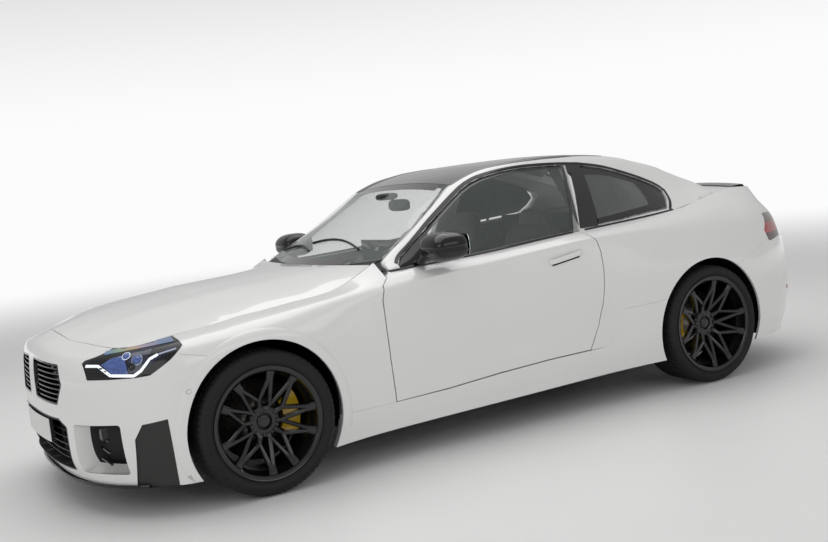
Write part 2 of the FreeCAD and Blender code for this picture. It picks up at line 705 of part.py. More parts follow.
def boot_grid(extra=0.0):
    rows = []
    for a, side, centre_z, side_z in BOOT_TOP_SHARES:
        rows.append([V(along(a), c * (side * HALF + extra), (centre_z + (side_z - centre_z) * c * c) * HEIGHT)
                     for c in steps(-1, 1, CROSS_COLUMNS)])
    side = BOOT_SIDE_SHARE * HALF + extra
    for level in BOOT_FACE_LEVELS:
        to_x, to_z = tail_line(level)
        rows.append([V(to_x(abs(c) * side), c * side, to_z(abs(c) * side)) for c in steps(-1, 1, CROSS_COLUMNS)])
    lines = [spread(list(line), 13) for line in zip(*rows)]
    return [list(row) for row in zip(*lines)]


# Outlines on the side view
DOOR_FRONT_SHARES = [
    (0.2726, 0.648), (0.2470, 0.6113), (0.2403, 0.5654), (0.2412, 0.4611), (0.2450, 0.3369), (0.2458, 0.2069),
]
DOOR_BOTTOM_SHARES = [(0.3573, 0.2132), (0.4683, 0.2264), (0.5849, 0.2350)]
DOOR_REAR_SHARES = [
    (0.6845, 0.2366), (0.7111, 0.3251), (0.7238, 0.3996), (0.7300, 0.4760), (0.7323, 0.5338), (0.7295, 0.6043),
    (0.7225, 0.6480), (0.7130, 0.6700), (0.7000, 0.7000),
]
SKIRT_REAR_SHARES = [(0.7195, 0.2363), (0.7352, 0.2467), (0.7712, 0.3655), (0.7806, 0.3687), (0.8851, 0.3758), (0.95, 0.3758)]
WINDOW_TOP_SHARES = [
    (0.3000, 0.6700), (0.3121, 0.6915), (0.3415, 0.7251), (0.3697, 0.7599), (0.3980, 0.7973), (0.4252, 0.8320),
    (0.4527, 0.8672), (0.4810, 0.9011), (0.5050, 0.9230), (0.5320, 0.9388), (0.5807, 0.9526), (0.6293, 0.9573),
    (0.6783, 0.9561), (0.7285, 0.9511),
]
QUARTER_TOP_SHARES = [
    (0.7811, 0.9418), (0.8337, 0.9223), (0.8861, 0.8921), (0.9387, 0.8551), (0.9740, 0.8200), (0.9850, 0.7950),
    (0.9790, 0.7600), (0.9600, 0.7250),
]
QUARTER_FOOT_SHARE = 0.7000
QUARTER_PEAK_SHARE = 0.9430
PILLAR_TOP_SHARE = 0.7393
PILLAR_PEAK_SHARE = 0.9510
PILLAR_FOOT_SHARE = 0.7000
WINDOW_LOW_SHARE = 0.60
COVER_TOP_SHARE = 0.7758
COVER_FOOT_SHARE = 0.7588
FENDER_SEAM_SHARES = [(-0.4063, 0.5304), (-0.4397, 0.5100), (-0.2925, 0.4897), (-0.2332, 0.4677)]
REAR_SEAM_SHARES = [(1.1500, 0.4500), (1.1939, 0.4582), (1.3376, 0.4902), (1.5314, 0.5445), (1.6000, 0.5660)]
HEADLAMP_SHARES = [
    (-0.8500, 0.4516), (-0.8500, 0.5010), (-0.8334, 0.5100), (-0.7103, 0.5330), (-0.5647, 0.5600), (-0.4020, 0.5800),
    (-0.4020, 0.5330), (-0.4848, 0.4959), (-0.5887, 0.4566), (-0.6551, 0.4526),
]
LAMP_DEPTH = 60.0
LAMP_START_SHARE = 0.3
BLADE_INSET = 6.0
KIDNEY_RIM = 9.0
KIDNEY_DEPTH = 40.0
KIDNEY_FINS = 7
KIDNEY_ROUND = 16.0
FIN_HEIGHT = 6.0
BAR_POINTS = 9
INTAKE_BARS = 6
INTAKE_TIES = 4
INTAKE_INSET = 40.0
INTAKE_DEPTH = 10.0
OPENING_ROUND = 14.0
SPLITTER_Z = 150.0
SPLITTER_WALL = 14.0
SPLITTER_LIP = 8.0
SPLITTER_DEPTH = 70.0
BLADE_SHARES = [(-0.6906, 0.2595), (-0.6536, 0.3057), (-0.5359, 0.3166), (-0.5097, 0.1000), (-0.6950, 0.1000)]
# Outlines on the front view
KIDNEY_SHARES = [(0.050, 0.5040), (0.447, 0.4961), (0.496, 0.4333), (0.432, 0.3641), (0.065, 0.3660)]
INTAKE_SHARES = [(0.425, 0.3200), (0.500, 0.2950), (0.470, 0.1450)]
SIDE_INTAKE_SHARES = [(0.560, 0.3060), (0.815, 0.3090), (0.800, 0.1450), (0.530, 0.1450)]
TAIL_LAMP_SHARES = [(0.445, 0.6350), (0.866, 0.6493), (0.921, 0.5791), (0.924, 0.5289), (0.860, 0.5390), (0.445, 0.5560)]
TAIL_LAMP_END_SHARE = 1.50
TAIL_LAMP_ROUND = 8.0
DIFFUSER_SHARES = [(-0.640, 0.050), (-0.600, 0.235), (-0.420, 0.262), (0.420, 0.262), (0.600, 0.235), (0.640, 0.050)]
DIFFUSER_INSET = 10.0
PIPE_SHARES = [0.34, 0.46]
PIPE_INSET = 28.0
POST_TOP_SHARE = 0.595
MIRROR_SHARES = [(0.918, 0.677), (1.080, 0.667), (1.102, 0.712), (1.086, 0.774), (0.933, 0.766), (0.905, 0.712)]
MIRROR_X = 570.0
MIRROR_DEPTH = 170.0
MIRROR_ROUND = 24.0
# Wheel windows: share of the rim's inside, and share of half the angle between spokes
OUTER_WINDOW_SHARES = [(0.48, 0.0), (0.97, -0.76), (0.97, 0.0), (0.97, 0.76)]
INNER_WINDOW_SHARES = [(0.38, 0.0), (0.46, -0.62), (0.80, 0.0), (0.46, 0.62)]
WINDOW_ROUND = 5.0
LINER_LOW = 215.0
DRIVE_RADIUS = 80.0
BEAM_HALF = 520.0
BULKHEAD_SHARE = 0.224
BULKHEAD_TOP_SHARE = 0.638
SUPPORT_TOP_SHARE = 0.495
ENGINE_SHARE = 0.20
HEEL_SHARE = 0.876
TAIL_PANEL_SHARE = 1.78
BOOT_FLOOR_SHARE = 0.300
SHELF_SHARE = 0.735
TAIL_PANEL_TOP_SHARE = 0.555
GUTTER_WALL = 8.0
GUTTER_SIDE = 60.0
GUTTER_DROP = 1.5
GUTTER_OUT = 1.0
BOOT_MOUTH_SHARE = 0.50
COWL_SIDE_SHARE = 0.95
COWL_LIP = 25.0
COWL_TUCK_SHARE = 0.3
COWL_WALL = 6.0
DASH_END = 800.0
DASH_SHARES = [
    (0.224, 0.640), (0.330, 0.655), (0.360, 0.635), (0.372, 0.560), (0.350, 0.480), (0.300, 0.430), (0.224, 0.430),
]
DASH_ROUND = 20.0
CONSOLE_TOP_SHARE = 0.36
CHAIR_SHARES = [
    (0.10, 0.0), (0.55, 0.0), (0.64, 0.10), (0.66, 0.25), (0.60, 0.30), (0.12, 0.24), (0.04, 0.45), (-0.05, 0.80),
    (-0.02, 0.97), (-0.10, 1.0), (-0.16, 0.80), (-0.10, 0.40), (-0.02, 0.15),
]
BENCH_SHARES = [(0.0, 0.0), (0.42, 0.0), (0.52, 0.25), (0.46, 0.30), (0.16, 0.25), (0.05, 0.82), (0.0, 0.82)]
BENCH_HALF = 560.0
CHAIR_ROUND = 30.0


def moved(pairs, dx, dz):
    return [(x + dx, z + dz) for x, z in pairs]


def inset(pairs, by):
    # A closed outline drawn in by the same distance all round
    area = sum(a[0] * b[1] - b[0] * a[1] for a, b in zip(pairs, pairs[1:] + pairs[:1]))
    sign = math.copysign(1, area)
    lines = []
    for a, b in zip(pairs[-1:] + pairs[:-1], pairs):
        run = (b[0] - a[0], b[1] - a[1])
        length = math.hypot(run[0], run[1])
        lines.append((a[0] - run[1] / length * sign * by, a[1] + run[0] / length * sign * by, run[0], run[1]))
    out = []
    for first, second in zip(lines, lines[1:] + lines[:1]):
        cross = first[2] * second[3] - first[3] * second[2]
        t = ((second[0] - first[0]) * second[3] - (second[1] - first[1]) * second[2]) / cross
        out.append((first[0] + first[2] * t, first[1] + first[3] * t))
    return out


def door_outline(draw_in, top=0.71):
    # Front edge, bottom and rear edge, drawn in by the given amount
    front = moved(at(DOOR_FRONT_SHARES), -draw_in, 0)
    bottom = moved(at(DOOR_BOTTOM_SHARES), 0, draw_in)
    rear = moved(at(DOOR_REAR_SHARES), draw_in, 0)
    front[-1] = (front[-1][0], front[-1][1] + draw_in)
    rear[0] = (rear[0][0], rear[0][1] + draw_in)
    peak = [(rear[-1][0], top * HEIGHT), (front[0][0], top * HEIGHT)]
    return front + bottom + rear[:-1] + peak


def arch(front, radius, y_from=-REACH, y_to=REACH):
    x = FRONT_AXLE_X if front else REAR_AXLE_X
    z = TYRE_RADIUS_FRONT if front else TYRE_RADIUS_REAR
    return drum(x, z, radius, y_from, y_to)


def front_slab(wall=PANEL_WALL, inset=0.0):
    near = sunk(FRONT_GRID, inset) if inset else FRONT_GRID
    return between(near, sunk(FRONT_GRID, inset + wall))


def rear_slab(wall=PANEL_WALL, inset=0.0):
    near = sunk(REAR_GRID, inset) if inset else REAR_GRID
    return between(near, sunk(REAR_GRID, inset + wall))


def door_slab(first, last, top_lift=0.0):
    # Part of the side's thickness, from one depth to another
    near = shifted(DOOR_GRID, V(0, -first, 0))
    far = shifted(DOOR_GRID, V(0, -last, 0))
    if top_lift:
        near = [row[:-1] + [row[-1] + V(0, 0, top_lift)] for row in near]
        far = [row[:-1] + [row[-1] + V(0, 0, top_lift)] for row in far]
    return between(near, far)


def headlamp_prism(draw_in=0.0):
    return side_prism(inset(at(HEADLAMP_SHARES), draw_in), 0.0, LAMP_START_SHARE * HALF, REACH)


def kidney_prism(draw_in):
    return front_prism(inset(across(KIDNEY_SHARES), draw_in), FRONT_AXLE_X, NOSE_X + REACH, KIDNEY_ROUND)


def intake_prism(draw_in):
    # The low middle opening
    pairs = across(INTAKE_SHARES)
    pairs += [(-y, z) for y, z in pairs[::-1]]
    return front_prism(inset(pairs, draw_in), FRONT_AXLE_X, NOSE_X + REACH, OPENING_ROUND)


def build_front_bumper(front):
    outline = [(NOSE_X + REACH, 0), (NOSE_X + REACH, HEIGHT), (along(FENDER_SEAM_SHARES[0][0]), HEIGHT)]
    outline += at(FENDER_SEAM_SHARES)
    outline.append((along(FENDER_SEAM_SHARES[-1][0]), 0))
    body = front.common(side_prism(outline, 0, -REACH, REACH))
    cuts = [arch(True, ARCH_RADIUS)]
    for side in (1, -1):
        kidney = kidney_prism(0.0)
        lamp = headlamp_prism()
        blade = side_prism(at(BLADE_SHARES), 0.0, 0.5 * HALF)
        intake = front_prism(across(SIDE_INTAKE_SHARES), FRONT_AXLE_X, NOSE_X + REACH, OPENING_ROUND)
        for cut in (kidney, lamp, blade, intake):
            cuts.append(cut if side > 0 else mirrored(cut))
    cuts.append(intake_prism(0.0))
    return body.cut(cuts)


def build_front_fenders(front):
    seam = moved(at(FENDER_SEAM_SHARES), -PANEL_GAP, PANEL_GAP)
    rear = moved(at(DOOR_FRONT_SHARES), SHUT_GAP / 2, 0)
    bottom = at(DOOR_FRONT_SHARES)[-1][1] + PANEL_GAP
    outline = [(seam[0][0], HEIGHT)] + seam + [(seam[-1][0], bottom), (rear[-1][0], bottom)] + rear[-2::-1]
    outline.append((rear[0][0] - PANEL_WALL, HEIGHT))
    body = front.common(side_prism(outline))
    return pair(body.cut([arch(True, ARCH_RADIUS), headlamp_prism()]))


def build_headlamps():
    lamp = front_slab(LAMP_DEPTH, SEAT).common(headlamp_prism(PANEL_GAP))
    return pair(lamp)


def build_corner_blades():
    blade = front_slab(PANEL_WALL, BLADE_INSET).common(side_prism(at(BLADE_SHARES), 0.0, 0.5 * HALF))
    return pair(blade)


def face_line(columns, z):
    # Where a wrap's face lies along the car, across it, at one height
    pairs = []
    for column in columns:
        fine = fine_column(column, SIDE_ROWS)
        for low, high in zip(fine, fine[1:]):
            if low.z <= z <= high.z:
                point = low + (high - low) * ((z - low.z) / (high.z - low.z))
                pairs.append((point.y, point.x))
                break
    return Curve(pairs)


def face_bar(columns, z, y_from, y_to, inset, depth, height):
    # A level bar that follows the wrap's face
    line = face_line(columns, z)
    sign = 1 if line(0) > 0 else -1
    ys = steps(y_from, y_to, BAR_POINTS)
    front = [(line(abs(y)) - sign * inset, y) for y in ys]
    rear = [(x - sign * depth, y) for x, y in front[::-1]]
    return plan_prism(front + rear, z - height / 2, z + height / 2)


def build_kidney_grille():
    # Each side: a rim in its opening with level fins across it
    outer = kidney_prism(SEAT)
    inner = kidney_prism(KIDNEY_RIM)
    rim = front_slab(KIDNEY_DEPTH, SEAT).common(outer).cut(inner)
    low = KIDNEY_SHARES[3][1] * HEIGHT
    high = KIDNEY_SHARES[1][1] * HEIGHT
    fins = []
    for z in steps(low, high, KIDNEY_FINS + 2)[1:-1]:
        fins.append(face_bar(NOSE_COLUMNS, z, 0, 0.55 * HALF, KIDNEY_RIM, KIDNEY_DEPTH - KIDNEY_RIM, FIN_HEIGHT))
    fins = Part.makeCompound(fins).common(kidney_prism(KIDNEY_RIM / 2))
    return pair(fused([rim] + fins.Solids))


def build_intake_grille():
    # The low middle intake: a rim in its opening, with level bars tied by upright ones
    top, wide, low = across(INTAKE_SHARES)
    side = wide[0]
    levels = steps(low[1], top[1], INTAKE_BARS + 2)
    depth = INTAKE_INSET + INTAKE_DEPTH
    bars = []
    for z in levels[1:-1]:
        bars.append(face_bar(NOSE_COLUMNS, z, -side, side, INTAKE_INSET, depth, FIN_HEIGHT))
    for y in steps(-side, side, INTAKE_TIES + 2)[1:-1]:
        line = [(face_line(NOSE_COLUMNS, z)(abs(y)) - INTAKE_INSET - INTAKE_DEPTH / 2, z) for z in levels]
        bars.append(side_prism(line + moved(line[::-1], -INTAKE_DEPTH, 0), 0, y - FIN_HEIGHT / 2, y + FIN_HEIGHT / 2))
    outer = intake_prism(SEAT)
    inner = intake_prism(KIDNEY_RIM)
    rim = front_slab(depth + INTAKE_DEPTH, SEAT).common(outer).cut(inner)
    return fused([rim] + Part.makeCompound(bars).common(intake_prism(KIDNEY_RIM / 2)).Solids)


def build_splitter():
    # A lip under the bumper's lower edge
    line = face_line(NOSE_COLUMNS, SPLITTER_Z)
    side = 0.86 * HALF
    ys = steps(-side, side, 2 * BAR_POINTS)
    front = [(line(abs(y)) + SPLITTER_LIP, y) for y in ys]
    rear = [(line(abs(y)) - SPLITTER_DEPTH, y) for y in ys[::-1]]
    lip = plan_prism(front + rear, SPLITTER_Z - SPLITTER_WALL, SPLITTER_Z + SPLITTER_WALL)
    ends = side_prism(moved(at(BLADE_SHARES), SEAT, 0), 0.0, 0.5 * HALF)
    lip = lip.cut([front_slab(PANEL_WALL + 2 * SEAT, -SEAT), ends, mirrored(ends)])
    return max(lip.Solids, key=lambda s: s.Volume)


def hood_grid():
    return [[hood_point(v, c) for c in steps(-1, 1, HOOD_COLUMNS)] for v in steps(0, 1, HOOD_ROWS)]


def build_hood():
    grid = hood_grid()
    return between(grid, sunk(grid, HOOD_WALL))


def build_quarter_panels(rear, boot_cut):
    # The skin behind the door, from the skirt up to the belt and round to the tail
    door_rear = moved(at(DOOR_REAR_SHARES), -SHUT_GAP / 2, 0)
    seam = moved(at(REAR_SEAM_SHARES), 0, PANEL_GAP)
    skirt = moved(at(SKIRT_REAR_SHARES), 0, PANEL_GAP)
    outline = [(door_rear[0][0], skirt[0][1])] + door_rear[1:] + [(door_rear[-1][0], HEIGHT), (-NOSE_X - REACH, HEIGHT)]
    outline += [(-NOSE_X - REACH, seam[-1][1])] + seam[::-1] + skirt[::-1]
    quarter = rear.common(side_prism(outline))
    return pair(quarter.cut([arch(False, ARCH_RADIUS), boot_cut, tail_lamp_prism(0.0)]))


def build_side_frames():
    # Door posts and sill, behind the skin, with the door's opening
    first = DOOR_SKIN + SHUT_GAP
    front_x = at(DOOR_FRONT_SHARES)[2][0] + FRAME_WALL
    rear_x = REAR_AXLE_X
    ring = [(front_x, FLOOR_HEIGHT), (front_x, HEIGHT), (rear_x, HEIGHT), (rear_x, FLOOR_HEIGHT)]
    wall = door_slab(first, first + FRAME_WALL, -2 * SEAT).common(side_prism(ring))
    # The post's top stays under the fender, and the sill clears both wheelhouses
    cuts = [
        side_prism(door_outline(DOOR_STEP / 2, 0.8)),
        box(at(DOOR_FRONT_SHARES)[0][0] + SHUT_GAP, NOSE_X, 0, WIDTH, POST_TOP_SHARE * HEIGHT, HEIGHT),
        arch(True, LINER_RADIUS_FRONT + LINER_WALL + SEAT),
        arch(False, LINER_RADIUS_REAR + LINER_WALL + SEAT),
        rear_slab(PANEL_WALL + 2 * SEAT, -SEAT),
    ]
    return pair(max(wall.cut(cuts).Solids, key=lambda s: s.Volume))


def quarter_outline():
    return at([(COVER_FOOT_SHARE, QUARTER_FOOT_SHARE), (COVER_TOP_SHARE, QUARTER_PEAK_SHARE)] + QUARTER_TOP_SHARES)


def build_roof_frames():
    # Pillars, roof rails and the deck beside the lid
    top = between(UPPER_GRID, upper_sunk(RAIL_WALL, FRAME_SLIM))
    low = WINDOW_LOW_SHARE * HEIGHT
    window = at(WINDOW_TOP_SHARES) + at([(PILLAR_TOP_SHARE, PILLAR_PEAK_SHARE)])
    window += [(along(PILLAR_FOOT_SHARE), low), (along(DOOR_FRONT_SHARES[0][0]), low)]
    # The pillar's foot clears the door's top edge
    foot = [(a, BELT_Z(max(a, PILLAR_FOOT))) for a in (DOOR_FRONT_SHARES[0][0], WINDOW_TOP_SHARES[0][0])]
    window += moved(at(foot), 0, SHUT_GAP)
    return pair(healed(top.cut([side_prism(window), side_prism(quarter_outline())])))


def tail_lamp_prism(draw_in):
    pairs = inset(across(TAIL_LAMP_SHARES), draw_in)
    return front_prism(pairs, -NOSE_X - REACH, along(TAIL_LAMP_END_SHARE), TAIL_LAMP_ROUND)


def build_tail_lamps(boot_cut):
    lamp = rear_slab(LAMP_DEPTH, SEAT).common(tail_lamp_prism(PANEL_GAP)).cut(boot_cut)
    return pair(lamp)


def build_rear_bumper(rear, boot_cut):
    seam = at(REAR_SEAM_SHARES)
    outline = seam + [(-NOSE_X - REACH, seam[-1][1]), (-NOSE_X - REACH, 0), (seam[0][0], 0)]
    body = rear.common(side_prism(outline, 0, -REACH, REACH))
    diffuser = front_prism(across(DIFFUSER_SHARES), -NOSE_X - REACH, REAR_AXLE_X, OPENING_ROUND)
    lamp = tail_lamp_prism(0.0)
    return body.cut([arch(False, ARCH_RADIUS), diffuser, lamp, mirrored(lamp), boot_cut])


def pipe_places():
    return [sign * share * HALF for sign in (1, -1) for share in PIPE_SHARES]


def build_diffuser():
    pairs = across(DIFFUSER_SHARES)
    inner = [(y - math.copysign(SEAT, y), z - SEAT) for y, z in pairs]
    body = rear_slab(PANEL_WALL, DIFFUSER_INSET).common(
        front_prism(inner, -NOSE_X - REACH, REAR_AXLE_X, OPENING_ROUND))
    holes = [tube(V(-NOSE_X - REACH, y, PIPE_Z), V(REAR_AXLE_X, y, PIPE_Z), PIPE_RADIUS + SHUT_GAP)
             for y in pipe_places()]
    body = body.cut(holes)
    return max(body.Solids, key=lambda s: s.Volume)


def build_side_skirts():
    top = at(DOOR_FRONT_SHARES)[-1][1]
    line = moved(at(DOOR_BOTTOM_SHARES) + [at(DOOR_REAR_SHARES)[0]], 0, -SHUT_GAP / 2) + at(SKIRT_REAR_SHARES)
    outline = [(along(0.115), top), (along(0.2458), top)] + line + [(along(0.95), 0), (along(0.115), 0)]
    body = door_slab(0.0, DOOR_SKIN + SHUT_GAP - SEAT).common(side_prism(outline))
    return body.cut([arch(True, ARCH_RADIUS), arch(False, ARCH_RADIUS)])


def build_door():
    outer = door_slab(0.0, DOOR_SKIN).common(side_prism(door_outline(SHUT_GAP / 2)))
    inner = door_slab(DOOR_SKIN - SHUT_GAP, DOOR_WALL).common(side_prism(door_outline(DOOR_STEP)))
    return fused([outer, inner])


def build_door_seals():
    # A strip on the post and sill that the door's edge closes on
    strip = door_slab(DOOR_SKIN + SEAT, DOOR_SKIN + SHUT_GAP - SEAT)
    outer = side_prism(door_outline(DOOR_STEP / 2 - SEAL_WALL))
    inner = side_prism(door_outline(DOOR_STEP / 2, 0.8))
    strip = strip.common(outer).cut(inner)
    roof = box(-NOSE_X, NOSE_X, 0, WIDTH, POST_TOP_SHARE * HEIGHT, HEIGHT)
    return pair(strip.cut(roof))


def build_mirror():
    shell = front_prism(across(MIRROR_SHARES), MIRROR_X - MIRROR_DEPTH, MIRROR_X, MIRROR_ROUND)
    foot = box(MIRROR_X - MIRROR_DEPTH / 2, MIRROR_X, 0.848 * HALF, 0.93 * HALF, 0.64 * HEIGHT, 0.69 * HEIGHT)
    return fused([shell, foot]).cut(door_slab(-SEAT, DOOR_WALL, SEAT))


# Wheels, brakes, knuckles and carriers, made for the left side

class Corner:
    # The sizes of the wheel at one end of the car
    def __init__(self, x, track, tyre_radius, tyre_width, rim_radius, disc_radius):
        self.x = x
        self.y = track / 2
        self.z = tyre_radius
        self.half = tyre_width / 2
        self.rim = rim_radius
        self.disc = disc_radius
        self.face = self.y + MOUNT_OFFSET
        self.disc_y = self.face - DISC_INSET
        self.hub = V(x, self.y, tyre_radius)


FRONT = Corner(FRONT_AXLE_X, TRACK_FRONT, TYRE_RADIUS_FRONT, TYRE_WIDTH_FRONT, RIM_RADIUS_FRONT, DISC_RADIUS_FRONT)
REAR = Corner(REAR_AXLE_X, TRACK_REAR, TYRE_RADIUS_REAR, TYRE_WIDTH_REAR, RIM_RADIUS_REAR, DISC_RADIUS_REAR)
KINGPIN_Y = FRONT.y - KINGPIN_INSET


def turned(corner, pairs, radius=0.0, start=0.0, sweep=360.0):
    # Pairs of radius and place across the car, turned about the wheel's axis
    axis = V(corner.x, 0, corner.z)
    wire = rounded([V(corner.x, y, corner.z + r) for r, y in pairs], radius)
    face = Part.Face(wire)
    face.rotate(axis, V(0, 1, 0), start)
    return face.revolve(axis, V(0, 1, 0), sweep)


def build_tyre(corner):
    # A hollow carcass, open towards the rim
    y = corner.y
    half = corner.half
    bead = corner.rim + SEAT
    lip = half - RIM_STEP
    middle = (corner.rim + corner.z) / 2
    shoulder = corner.z - SHOULDER / 2
    flange = corner.rim + RIM_FLANGE + 2 * SEAT
    outer = [(bead, -lip), (flange, -lip), (middle, -half), (shoulder, SHOULDER / 2 - half),
             (corner.z, 1.5 * SHOULDER - half)]
    outer += [(r, -s) for r, s in outer[::-1]]
    inner = [(bead, lip - BEAD_SEAT / 2), (middle, half - SIDEWALL), (corner.z - TREAD_WALL, half - 2 * SHOULDER)]
    inner += [(r, -s) for r, s in inner[::-1]]
    return turned(corner, [(r, y + s) for r, s in outer + inner])


def build_rim(corner):
    y = corner.y
    lip = corner.half - RIM_STEP + SEAT
    edge = corner.half - RIM_STEP / 2
    well = corner.rim - RIM_WELL
    flange = corner.rim + RIM_FLANGE
    outer = [(flange, -edge), (flange, -lip), (corner.rim, -lip), (corner.rim, BEAD_SEAT - lip)]
    outer += [(well, 1.5 * BEAD_SEAT - lip), (well, lip - 1.5 * BEAD_SEAT)]
    outer += [(corner.rim, lip - BEAD_SEAT), (corner.rim, lip), (flange, lip), (flange, edge)]
    inner = [(r - RIM_WALL, s) for r, s in outer[3:7]]
    bore = corner.rim - RIM_WALL
    barrel = outer + [(bore, edge)] + inner[::-1] + [(bore, -edge)]
    barrel = turned(corner, [(r, y + s) for r, s in barrel])
    # The face: a dished disc, with windows that leave split spokes
    rise = y + edge - SPOKE_DISH * 0.15
    front = [(0, corner.face + HUB_WALL), (HUB_RADIUS, corner.face + HUB_WALL), (corner.rim - RIM_WALL / 2, rise)]
    back = [(r, s - SPOKE_DEPTH) for r, s in front[:0:-1]]
    back += [(HUB_RADIUS, corner.face + SEAT), (0, corner.face + SEAT)]
    disc = turned(corner, front + back)
    return fused([barrel, disc.cut(spoke_windows(corner))])


def spoke_windows(corner):
    # Open triangles at the rim between spokes, and a diamond inside each spoke's fork
    size = corner.rim - RIM_WALL
    windows = []
    for n in range(SPOKES):
        for table, offset in ((OUTER_WINDOW_SHARES, 0.5), (INNER_WINDOW_SHARES, 0.0)):
            turn = (n + offset) * 2 * math.pi / SPOKES
            points = []
            for radius_share, side_share in table:
                spread_angle = turn + side_share * math.pi / SPOKES
                r = radius_share * size
                points.append(V(corner.x + r * math.sin(spread_angle), 0, corner.z + r * math.cos(spread_angle)))
            windows.append(prism(points, V(0, WIDTH, 0), WINDOW_ROUND))
    return windows


def build_cap(corner):
    y = corner.face + HUB_WALL
    return drum(corner.x, corner.z, CAP_RADIUS, y + SEAT, y + CAP_DEPTH)


def build_brake_disc(corner):
    inner = corner.disc - DISC_BAND
    y = corner.disc_y
    ring = [(corner.disc, y - DISC_WALL / 2), (corner.disc, y + DISC_WALL / 2), (inner, y + DISC_WALL / 2)]
    hat = [(inner, corner.face), (AXLE_RADIUS + SEAT, corner.face), (AXLE_RADIUS + SEAT, corner.face - 2 * HAT_WALL)]
    hat += [(inner - HAT_WALL, corner.face - 2 * HAT_WALL), (inner - HAT_WALL, y - DISC_WALL / 2)]
    return turned(corner, ring + hat)


def build_caliper(corner, ahead):
    # A bridge over the disc's edge, with the pads' housings on both sides
    y = corner.disc_y
    gap = DISC_WALL / 2 + CALIPER_GAP
    side = gap + CALIPER_WALL
    low = corner.disc - 0.8 * DISC_BAND
    high = corner.disc + CALIPER_LIP + CALIPER_GAP
    edge = corner.disc + CALIPER_GAP
    pairs = [(low, y + gap), (edge, y + gap), (edge, y - gap), (low, y - gap), (low, y - side), (high, y - side)]
    pairs += [(high, y + side), (low, y + side)]
    middle = 90.0 if ahead else 270.0
    return turned(corner, pairs, 0.0, middle - CALIPER_SWEEP / 2, CALIPER_SWEEP)


def build_upright(corner, y_pin, ahead):
    # The block that holds the bearing, the spindle and the caliper's bracket
    x = corner.x
    z = corner.z
    face = corner.disc_y - DISC_WALL / 2 - SHUT_GAP
    back = face - UPRIGHT_WALL
    block = box(x - UPRIGHT_WIDTH / 2, x + UPRIGHT_WIDTH / 2, back, face, z - UPRIGHT_HEIGHT / 2, z + UPRIGHT_HEIGHT / 2)
    pin = tube(V(x, y_pin, z - UPRIGHT_HEIGHT / 2), V(x, y_pin, z + UPRIGHT_HEIGHT / 2), KINGPIN_RADIUS)
    bearing = drum(x, z, BEARING_RADIUS, back - UPRIGHT_WALL, face)
    spindle = drum(x, z, AXLE_RADIUS, back, corner.face - HAT_WALL)
    sign = 1 if ahead else -1
    reach = corner.disc - DISC_BAND / 2
    near = x + sign * UPRIGHT_WIDTH / 2
    far = x + sign * reach
    bracket_top = corner.disc_y - DISC_WALL / 2 - CALIPER_GAP - CALIPER_WALL - SEAT
    bracket = box(min(near, far), max(near, far), back, bracket_top, z - UPRIGHT_WIDTH, z + UPRIGHT_WIDTH)
    return fused([block, pin, bearing, spindle, bracket])


def arm_plate(corner, y_pin):
    x = corner.x
    z = corner.z - UPRIGHT_HEIGHT / 2 - SEAT
    pairs = [(x + KINGPIN_RADIUS, y_pin), (x + ARM_SPREAD / 2, SUBFRAME_HALF), (x - ARM_SPREAD / 2, SUBFRAME_HALF),
             (x - KINGPIN_RADIUS, y_pin)]
    eye = tube(V(x, y_pin, z - ARM_WALL), V(x, y_pin, z), KINGPIN_RADIUS)
    return [plan_prism(pairs, z - ARM_WALL, z), eye]


def build_front_suspension():
    # Subframe with its lower arms, and a strut whose yoke holds the kingpin's top
    z = FRONT.z - UPRIGHT_HEIGHT / 2 - SEAT
    beam = box(FRONT.x - ARM_SPREAD / 2, FRONT.x + ARM_SPREAD / 2, -SUBFRAME_HALF, SUBFRAME_HALF,
               z - ARM_WALL, z + 3 * ARM_WALL)
    arms = arm_plate(FRONT, KINGPIN_Y)
    lower = fused([beam] + arms + [mirrored(s) for s in arms])
    top = FRONT.z + UPRIGHT_HEIGHT / 2 + SEAT
    eye = tube(V(FRONT.x, KINGPIN_Y, top), V(FRONT.x, KINGPIN_Y, top + ARM_WALL), KINGPIN_RADIUS)
    yoke = box(FRONT.x - KINGPIN_RADIUS, FRONT.x + KINGPIN_RADIUS, STRUT_Y, KINGPIN_Y, top, top + ARM_WALL)
    crown = FRONT.z + LINER_RADIUS_FRONT + LINER_WALL
    tube_part = tube(V(FRONT.x, STRUT_Y, top), V(FRONT.x, STRUT_Y, crown), STRUT_RADIUS)
    strut = fused([tube_part, yoke, eye])
    return Part.makeCompound([lower, strut, mirrored(strut)])


def build_rear_suspension():
    # Subframe bars and arms fused with the hub carriers, and the drive across them
    y_pin = REAR.disc_y - DISC_WALL / 2 - SHUT_GAP - UPRIGHT_WALL / 2
    carrier = build_upright(REAR, y_pin, True)
    z = REAR.z - UPRIGHT_HEIGHT / 2
    arm = arm_plate(REAR, y_pin)
    arm = [s.translated(V(0, 0, SEAT)) for s in arm]
    block = box(REAR.x - ARM_SPREAD / 2, REAR.x + ARM_SPREAD / 2, SUBFRAME_HALF - 2 * ARM_WALL, SUBFRAME_HALF,
                z - ARM_WALL, REAR.z + AXLE_RADIUS + ARM_WALL)
    side = [carrier, block] + arm
    shaft = tube(V(REAR.x, -REAR.disc_y + DISC_WALL, REAR.z), V(REAR.x, REAR.disc_y - DISC_WALL, REAR.z), AXLE_RADIUS)
    drive = drum(REAR.x, REAR.z, DRIVE_RADIUS, -DRIVE_RADIUS, DRIVE_RADIUS)
    bars = [box(REAR.x + s * ARM_SPREAD / 2 - ARM_WALL, REAR.x + s * ARM_SPREAD / 2 + ARM_WALL,
                -SUBFRAME_HALF, SUBFRAME_HALF, REAR.z - ARM_WALL, REAR.z + ARM_WALL) for s in (1, -1)]
    return fused(side + [mirrored(s) for s in side] + [shaft, drive] + bars)


